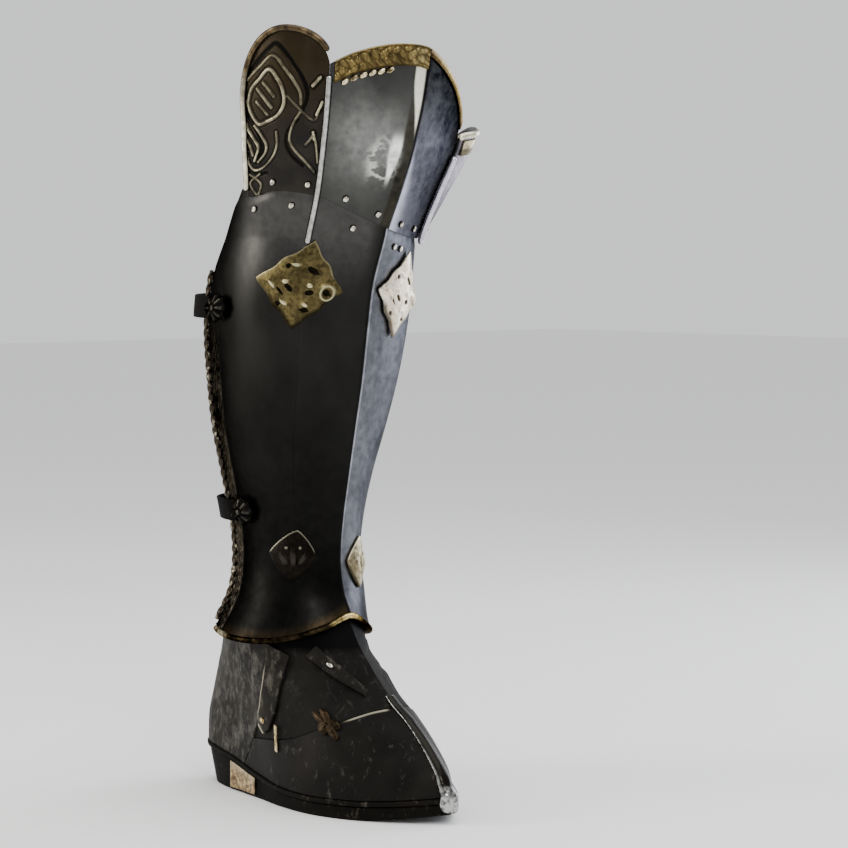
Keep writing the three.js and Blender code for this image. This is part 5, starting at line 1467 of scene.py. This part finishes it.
def side_creases(turn, height):
    """Soft folds in the quarter, on both sides of the ankle."""
    out, side = np.zeros(turn.shape), folded(turn)
    for level, lean in ((104, 0.22), (92, 0.12), (118, 0.30)):
        off = height - level + lean * (side - 110) - 1.3 * np.sin(side * 0.13 + level)
        out = out - 0.6 * np.exp(-((off / 2.6) ** 2)) * ease(85, 100, side) * fall(130, 160, side)
    return out


black_leather = leather(
    "black_leather", (0.0055, 0.0052, 0.0045), (0.013, 0.012, 0.010),
    (0.055, 0.052, 0.046), (0.58, 0.80), (0.5, 0.75),
)
cap_leather = leather(
    "cap_leather", (0.005, 0.0047, 0.004), (0.012, 0.0105, 0.009),
    (0.085, 0.08, 0.07), (0.60, 0.78), (0.30, 0.52),
)
grey_leather = leather(
    "grey_leather", (0.0085, 0.008, 0.007), (0.030, 0.027, 0.024),
    (0.13, 0.122, 0.108), (0.50, 0.70), (0.42, 0.66),
)


def under_hem(turn, height, share):
    """The shade under the greave's hem."""
    return ease(116, 124, height + 0 * turn) * 0.97


def cap_line(turn, height, share):
    """Worn stitches along the cap's edge."""
    stitched = ease(-50, -42, turn) * fall(-16, -10, turn)
    return (share[:, 1] > 0.988) * stitched * (0.2 + 0.6 * np.sin(turn * 2.1) ** 2)


quarter_gap = BUTT_GAP / 2
front_turns = lambda height: (-quarter_edge(height) + quarter_gap, quarter_edge(height) - quarter_gap)
back_turns = lambda height: (quarter_edge(height) + quarter_gap, 360 - quarter_edge(height) - quarter_gap)
on_sole = lambda turn: sole_top(turn) + SEAT_GAP
middle = ANKLE_HEIGHT / 2
vamp = lay_sheet(
    boot, front_turns, wrapped(lambda turn: cap_edge(turn) + BUTT_GAP, level_edge(FOOT_TOP)), 110, 60, middle,
    relief=creases, offset=spread, marks={"shade": under_hem},
)
fit("vamp_leather", vamp, black_leather, ["boot_vamp"], LEATHER, 0.5)
cap = lay_sheet(
    boot, front_turns, wrapped(on_sole, cap_edge), 130, 90, middle, lift=CAP_PROUD, offset=spread,
    marks={"edge": cap_line},
)
fit("toe_cap_leather", cap, cap_leather, ["toe_cap"], LEATHER, 0.7, 3)
quarter = lay_sheet(
    boot, back_turns, wrapped(on_sole, level_edge(FOOT_TOP)), 110, 70, middle, lift=QUARTER_PROUD,
    relief=side_creases, offset=spread,
)
fit("quarter_leather", quarter, grey_leather, ["boot_quarter"], LEATHER, 0.7, 3)
shaft = lay_sheet(
    leg, (-180, 180), wrapped(level_edge(FOOT_TOP + BUTT_GAP), level_edge(SHAFT_TOP)), 150, 60,
    lift=-STEEL_WALL - SHAFT_CLEARANCE, offset=spread, merge=0.01,
)
fit("shaft_leather", shaft, black_leather, ["boot_shaft"], LEATHER, 0.6, 3)


# Sole: a welt stitched round the uppers, a dark leather sole that thickens into a stacked heel, and a worn
# brass plate nailed to the outer side of the heel.
SOLE_LEDGE, HEEL_UNDERCUT = 1, 6
STITCH_CUT, LIFT_HEIGHT, LIFT_CUT, SOLE_ROUND = 0.35, 6.0, 0.25, 0.9


def sole_line(turn, height):
    point = boot(turn, np.full(np.shape(turn), ANKLE_HEIGHT * FOOT_LEVELS[0][0]))
    point[..., 2] = height
    return point


def lay_section(section, around, steps):
    """A closed ring or body: a section, given at a turn and a share round it, carried round the foot."""
    def shape(share):
        return section(mix(-180.0, 180.0, share[:, 0]), share[:, 1]), {}
    return shaped_grid(steps, around, shape, merge=0.02, closed=True)


def welt_section(turn, share):
    angle = share * 2 * math.pi
    reach = (WELT_LEDGE - 2 * LEATHER) / 2 + squared(np.cos(angle)) * (WELT_LEDGE + 2 * LEATHER) / 2
    up = sole_top(turn) - WELT_THICKNESS / 2 + squared(np.sin(angle)) * WELT_THICKNESS / 2
    notch = STITCH_CUT * np.clip(np.sin(turn * 2.6), 0, 1) ** 4 * (np.sin(angle) > 0.3)
    return raised(sole_line, turn, up - notch, reach)


def sole_section(turn, share):
    under = sole_top(turn) - WELT_THICKNESS - SEAT_GAP
    spring = TOE_SPRING * through(SOLE, station(turn))[..., 1]
    rise = np.clip((share - 0.2) / 0.6, 0, 1)
    inward = np.where(share < 0.2, share / 0.2, np.where(share > 0.8, (1 - share) / 0.2, 1))
    cut = HEEL_UNDERCUT * ease(0.75, 1, station(turn)) * (1 - rise)
    height = mix(spring, under, rise)
    joint = np.exp(-(((height % LIFT_HEIGHT - LIFT_HEIGHT / 2) / 0.45) ** 2))
    lifts = LIFT_CUT * joint * (inward == 1) * ease(0.45, 0.6, station(turn))
    round_edge = SOLE_ROUND * (1 - np.sqrt(1 - np.clip(1 - np.minimum(rise, 1 - rise) / 0.08, 0, 1) ** 2))
    point = raised(sole_line, turn, height, SOLE_LEDGE - cut - lifts - round_edge)
    point[..., 0] *= inward
    return point


sole_leather = leather(
    "sole_leather", (0.0025, 0.0022, 0.0018), (0.007, 0.0058, 0.0042),
    (0.085, 0.073, 0.054), (0.60, 0.76), (0.55, 0.8),
)
welt_leather = leather(
    "welt_leather", (0.003, 0.0027, 0.0023), (0.009, 0.0073, 0.0053),
    (0.10, 0.086, 0.064), (0.60, 0.76), (0.5, 0.75),
)
fit("stitched_welt", lay_section(welt_section, 32, 500), welt_leather, ["welt"])
fit("heel_and_sole", lay_section(sole_section, 70, 220), sole_leather, ["sole"])

heel_brass = aged_brass(
    "heel_brass", (0.62, 0.46, 0.24), (0.22, 0.13, 0.06),
    soot_colour=(0.012, 0.008, 0.005), grime=(0.47, 0.54),
)
heel_top = lambda turn: sole_top(turn) - WELT_THICKNESS - 2 * SEAT_GAP
plate = lay_sheet(
    sole_line, (-127, -108), wrapped(level_edge(2 * TRIM_SHEET), heel_top), 40, 30,
    lift=SOLE_LEDGE + SEAT_GAP + TRIM_SHEET,
    marks={"worn": lambda turn, height, share: 0.25 * ease(0.6, 1, share[:, 1])},
)
fit("heel_side_plate", plate, heel_brass, ["heel_plate"], TRIM_SHEET, 0.3)


# Toe strip: a bright steel strip riveted over the ridge of the toe. It widens downwards and ends in a rounded
# tip that stands over the welt.
SPINE_WIDTH, SPINE_THICKNESS, SPINE_FOOT, SPINE_ROUND = 15, 2.4, 9, 1.1


def spine_face(turn, height):
    over = ease(sole_top(0.0) + 1, sole_top(0.0) + 12, height)[..., None]
    low = spread(sole_line, turn, height, WELT_LEDGE + TRIM_GAP)
    return mix(low, spread(boot, turn, height, CAP_PROUD + TRIM_GAP), over)


def boot_turn(aside, height):
    """Turn at which the boot's outline lies a length aside of its ridge."""
    return falls_short(lambda around: np.abs(boot(around, height)[..., 0]) < aside, 60, height.shape, 22)


spine_top = CAP_PEAK + SPINE_WIDTH / 2


def spine_turns(height):
    t = np.clip((height - SPINE_FOOT) / (spine_top - SPINE_FOOT), 0, 1)
    tip = np.sqrt(np.clip(1 - (1 - np.clip(t / 0.10, 0, 1)) ** 2, 0.02, 1))
    reach = boot_turn(SPINE_WIDTH / 2 * mix(1, 0.3, np.sqrt(t)) * tip, height)
    return -reach, reach


def spine_crown(turn, height):
    return -SPINE_ROUND * (turn / spine_turns(height)[1]) ** 4


def spine_side(turn, height, share):
    """Mark for painted shade: low in the hollow middle of the strip's upper part and lower up the strip, high
    on its edges and its tip.
    """
    middle = 1 - np.abs(share[:, 0] - 0.5) * 2
    hollow = ease(0.08, 0.42, middle) * ease(18, 34, height)
    return (1 - hollow * 1.1) * mix(1, 0.62, ease(22, 60, height))


spine_steel = bright_steel(
    "spine_steel", (0.40, 0.40, 0.385), (0.055, 0.053, 0.050), rough=(0.10, 0.28), shaded=(0.10, 0.97),
)
spine = lay_sheet(
    spine_face, spine_turns, wrapped(level_edge(SPINE_FOOT), level_edge(spine_top)), 24, 150, 40,
    lift=SPINE_THICKNESS, relief=spine_crown, offset=spread, marks={"top": spine_side},
)
fit("toe_strip", spine, spine_steel, ["toe_spine"], SPINE_THICKNESS - 0.4, 0.4)


# Boot trim: a pointed leather strap on each side and one on the instep, each held by a rivet; a bronze leaf
# and a gilt bar pinned to the cap's edge; and an oval bronze ornament at the inner ankle.
BOOT_STRAP_WIDTH, ORNAMENT_SIZE = 17, 30


def lay_ribbon(surface, place, width, lift, across=12, up=90, marks=None):
    """A strip along a path on a surface; width gives its breadth at a share of its length."""
    def layout(share):
        s = share[:, 1]
        return moved_aside(surface, place, (0.5 - share[:, 0]) * width(s))(s)
    return lay_grid(surface, across, up, layout, lift=lift, marks=marks)


trim_leather = leather(
    "trim_leather", (0.007, 0.0065, 0.0055), (0.019, 0.0165, 0.0135), (0.12, 0.11, 0.09), (0.54, 0.74)
)
strap_thick = LEATHER * 0.8
on_strap = STRAP_SEAT + strap_thick
boot_head = lambda part: 1.2 * dome(part)
brass_head = rubbed_bronze(
    "boot_rivet_brass", (0.16, 0.11, 0.045), (0.34, 0.25, 0.11), (0.72, 0.60, 0.36), (0.42, 0.58)
)


def pale_edge(turn, height, share):
    """The strap's rear edge and tip, worn through to pale leather."""
    from_rear = np.where(turn < 0, share[:, 0], 1 - share[:, 0])
    return ((from_rear < 0.06) | (share[:, 1] < 0.03)) * fall(0.55, 0.8, share[:, 1]) * 0.8


def boot_rivet(turn, height, marks=None):
    return lay_boss(
        boot, turn, height, round_head, boot_head, on_strap, RIVET_RINGS, RIVET_AROUND, marks=marks,
    )


for name, sign in SIDES:
    def strap_line(s):
        height = mix(56, ANKLE_HEIGHT, s)
        aside = (BOOT_STRAP_WIDTH / 2 + 2) / per_turn(boot, QUARTER_TURN + 0 * height, height)
        return sign * (quarter_edge(height) - aside), height
    tapered = lambda s: BOOT_STRAP_WIDTH * np.minimum(1, 0.45 + 5 * s)
    strap = lay_ribbon(boot, strap_line, tapered, on_strap, across=24, marks={"edge": pale_edge})
    fit(f"side_strap_{name}", strap, trim_leather, [f"boot_strap_{name}"], strap_thick, 0.4)
    tip_turn, tip_height = (float(value[0]) for value in strap_line(np.array([0.12])))
    head = boot_rivet(tip_turn, tip_height)
    fit(f"side_strap_rivet_{name}", head, brass_head, [f"boot_rivet_{name}"])

instep_line = lambda s: (mix(-20, -44, s), mix(CAP_PEAK + 8, ANKLE_HEIGHT, s))
instep_width = lambda s: BOOT_STRAP_WIDTH * mix(0.4, 0.8, np.minimum(1, 2 * s))
strap = lay_ribbon(boot, instep_line, instep_width, on_strap)
fit("instep_strap_leather", strap, trim_leather, ["instep_strap"], strap_thick, 0.4)
head = boot_rivet(*instep_line(0.62), rivet_marks)
fit("instep_strap_rivet", head, rivet_steel, ["instep_rivet"])

cap_face = lambda turn, height: spread(boot, turn, height, CAP_PROUD)
quarter_face = lambda turn, height: spread(boot, turn, height, QUARTER_PROUD)
leaf_outline = lambda angle: ORNAMENT_SIZE / 2 * (0.42 + 0.33 * np.abs(np.cos(2.5 * angle)))
leaf_rise = lambda part: TRIM_SHEET + (1 - part**2)
veins = lambda x, y, part: 0.5 * np.abs(np.cos(2.5 * np.arctan2(y, x))) ** 3 * fall(0.8, 1, part)
leaf_bronze = aged_brass(
    "leaf_bronze", (0.040, 0.026, 0.014), (0.018, 0.013, 0.008), soot_colour=(0.005, 0.004, 0.003),
    bare=(0.18, 0.12, 0.06),
)
leaf = lay_boss(
    cap_face, -57, float(cap_edge(57.0)) + 1, leaf_outline, leaf_rise, rings=40, around=160, relief=veins,
    marks=boss_marks(veins, 0.8),
)
fit("cap_leaf", leaf, leaf_bronze, ["leaf_ornament"])
tick_middle = float(cap_edge(91.0))
tick_line = lambda s: (mix(-89, -86, s), mix(tick_middle - 8, tick_middle + 12, s))
tick = lay_ribbon(cap_face, tick_line, lambda s: 3 + 0 * s, LIFT, across=8, up=40)
fit("gilt_tick", tick, brass_head, ["gilt_bar"], TRIM_SHEET, 0.3)


def oval(angle):
    """The ankle ornament's outline, a scalloped oval."""
    scallop = 1 + 0.08 * np.cos(6 * angle)
    return ORNAMENT_SIZE * 0.8 * scallop / np.hypot(np.cos(angle), 1.9 * np.sin(angle))


def scrolls(x, y, part):
    """Even scrolls inside a raised border."""
    border = np.exp(-(((part - 0.92) / 0.05) ** 2))
    wave = np.cos(np.abs(x) / 4.2 + 0.9 * np.cos(y / 3.4))
    return 1.1 * np.abs(wave) ** 2 * fall(0.75, 0.9, part) + border


oval_rise = lambda part: TRIM_SHEET + 1.6 * (1 - part**2)
ankle = lay_boss(
    quarter_face, 128, ANKLE_HEIGHT - 18, oval, oval_rise, rings=60, around=160, relief=scrolls,
    marks=boss_marks(scrolls, 1.1),
)
fit("ankle_oval", ankle, leaf_bronze, ["ankle_ornament"])
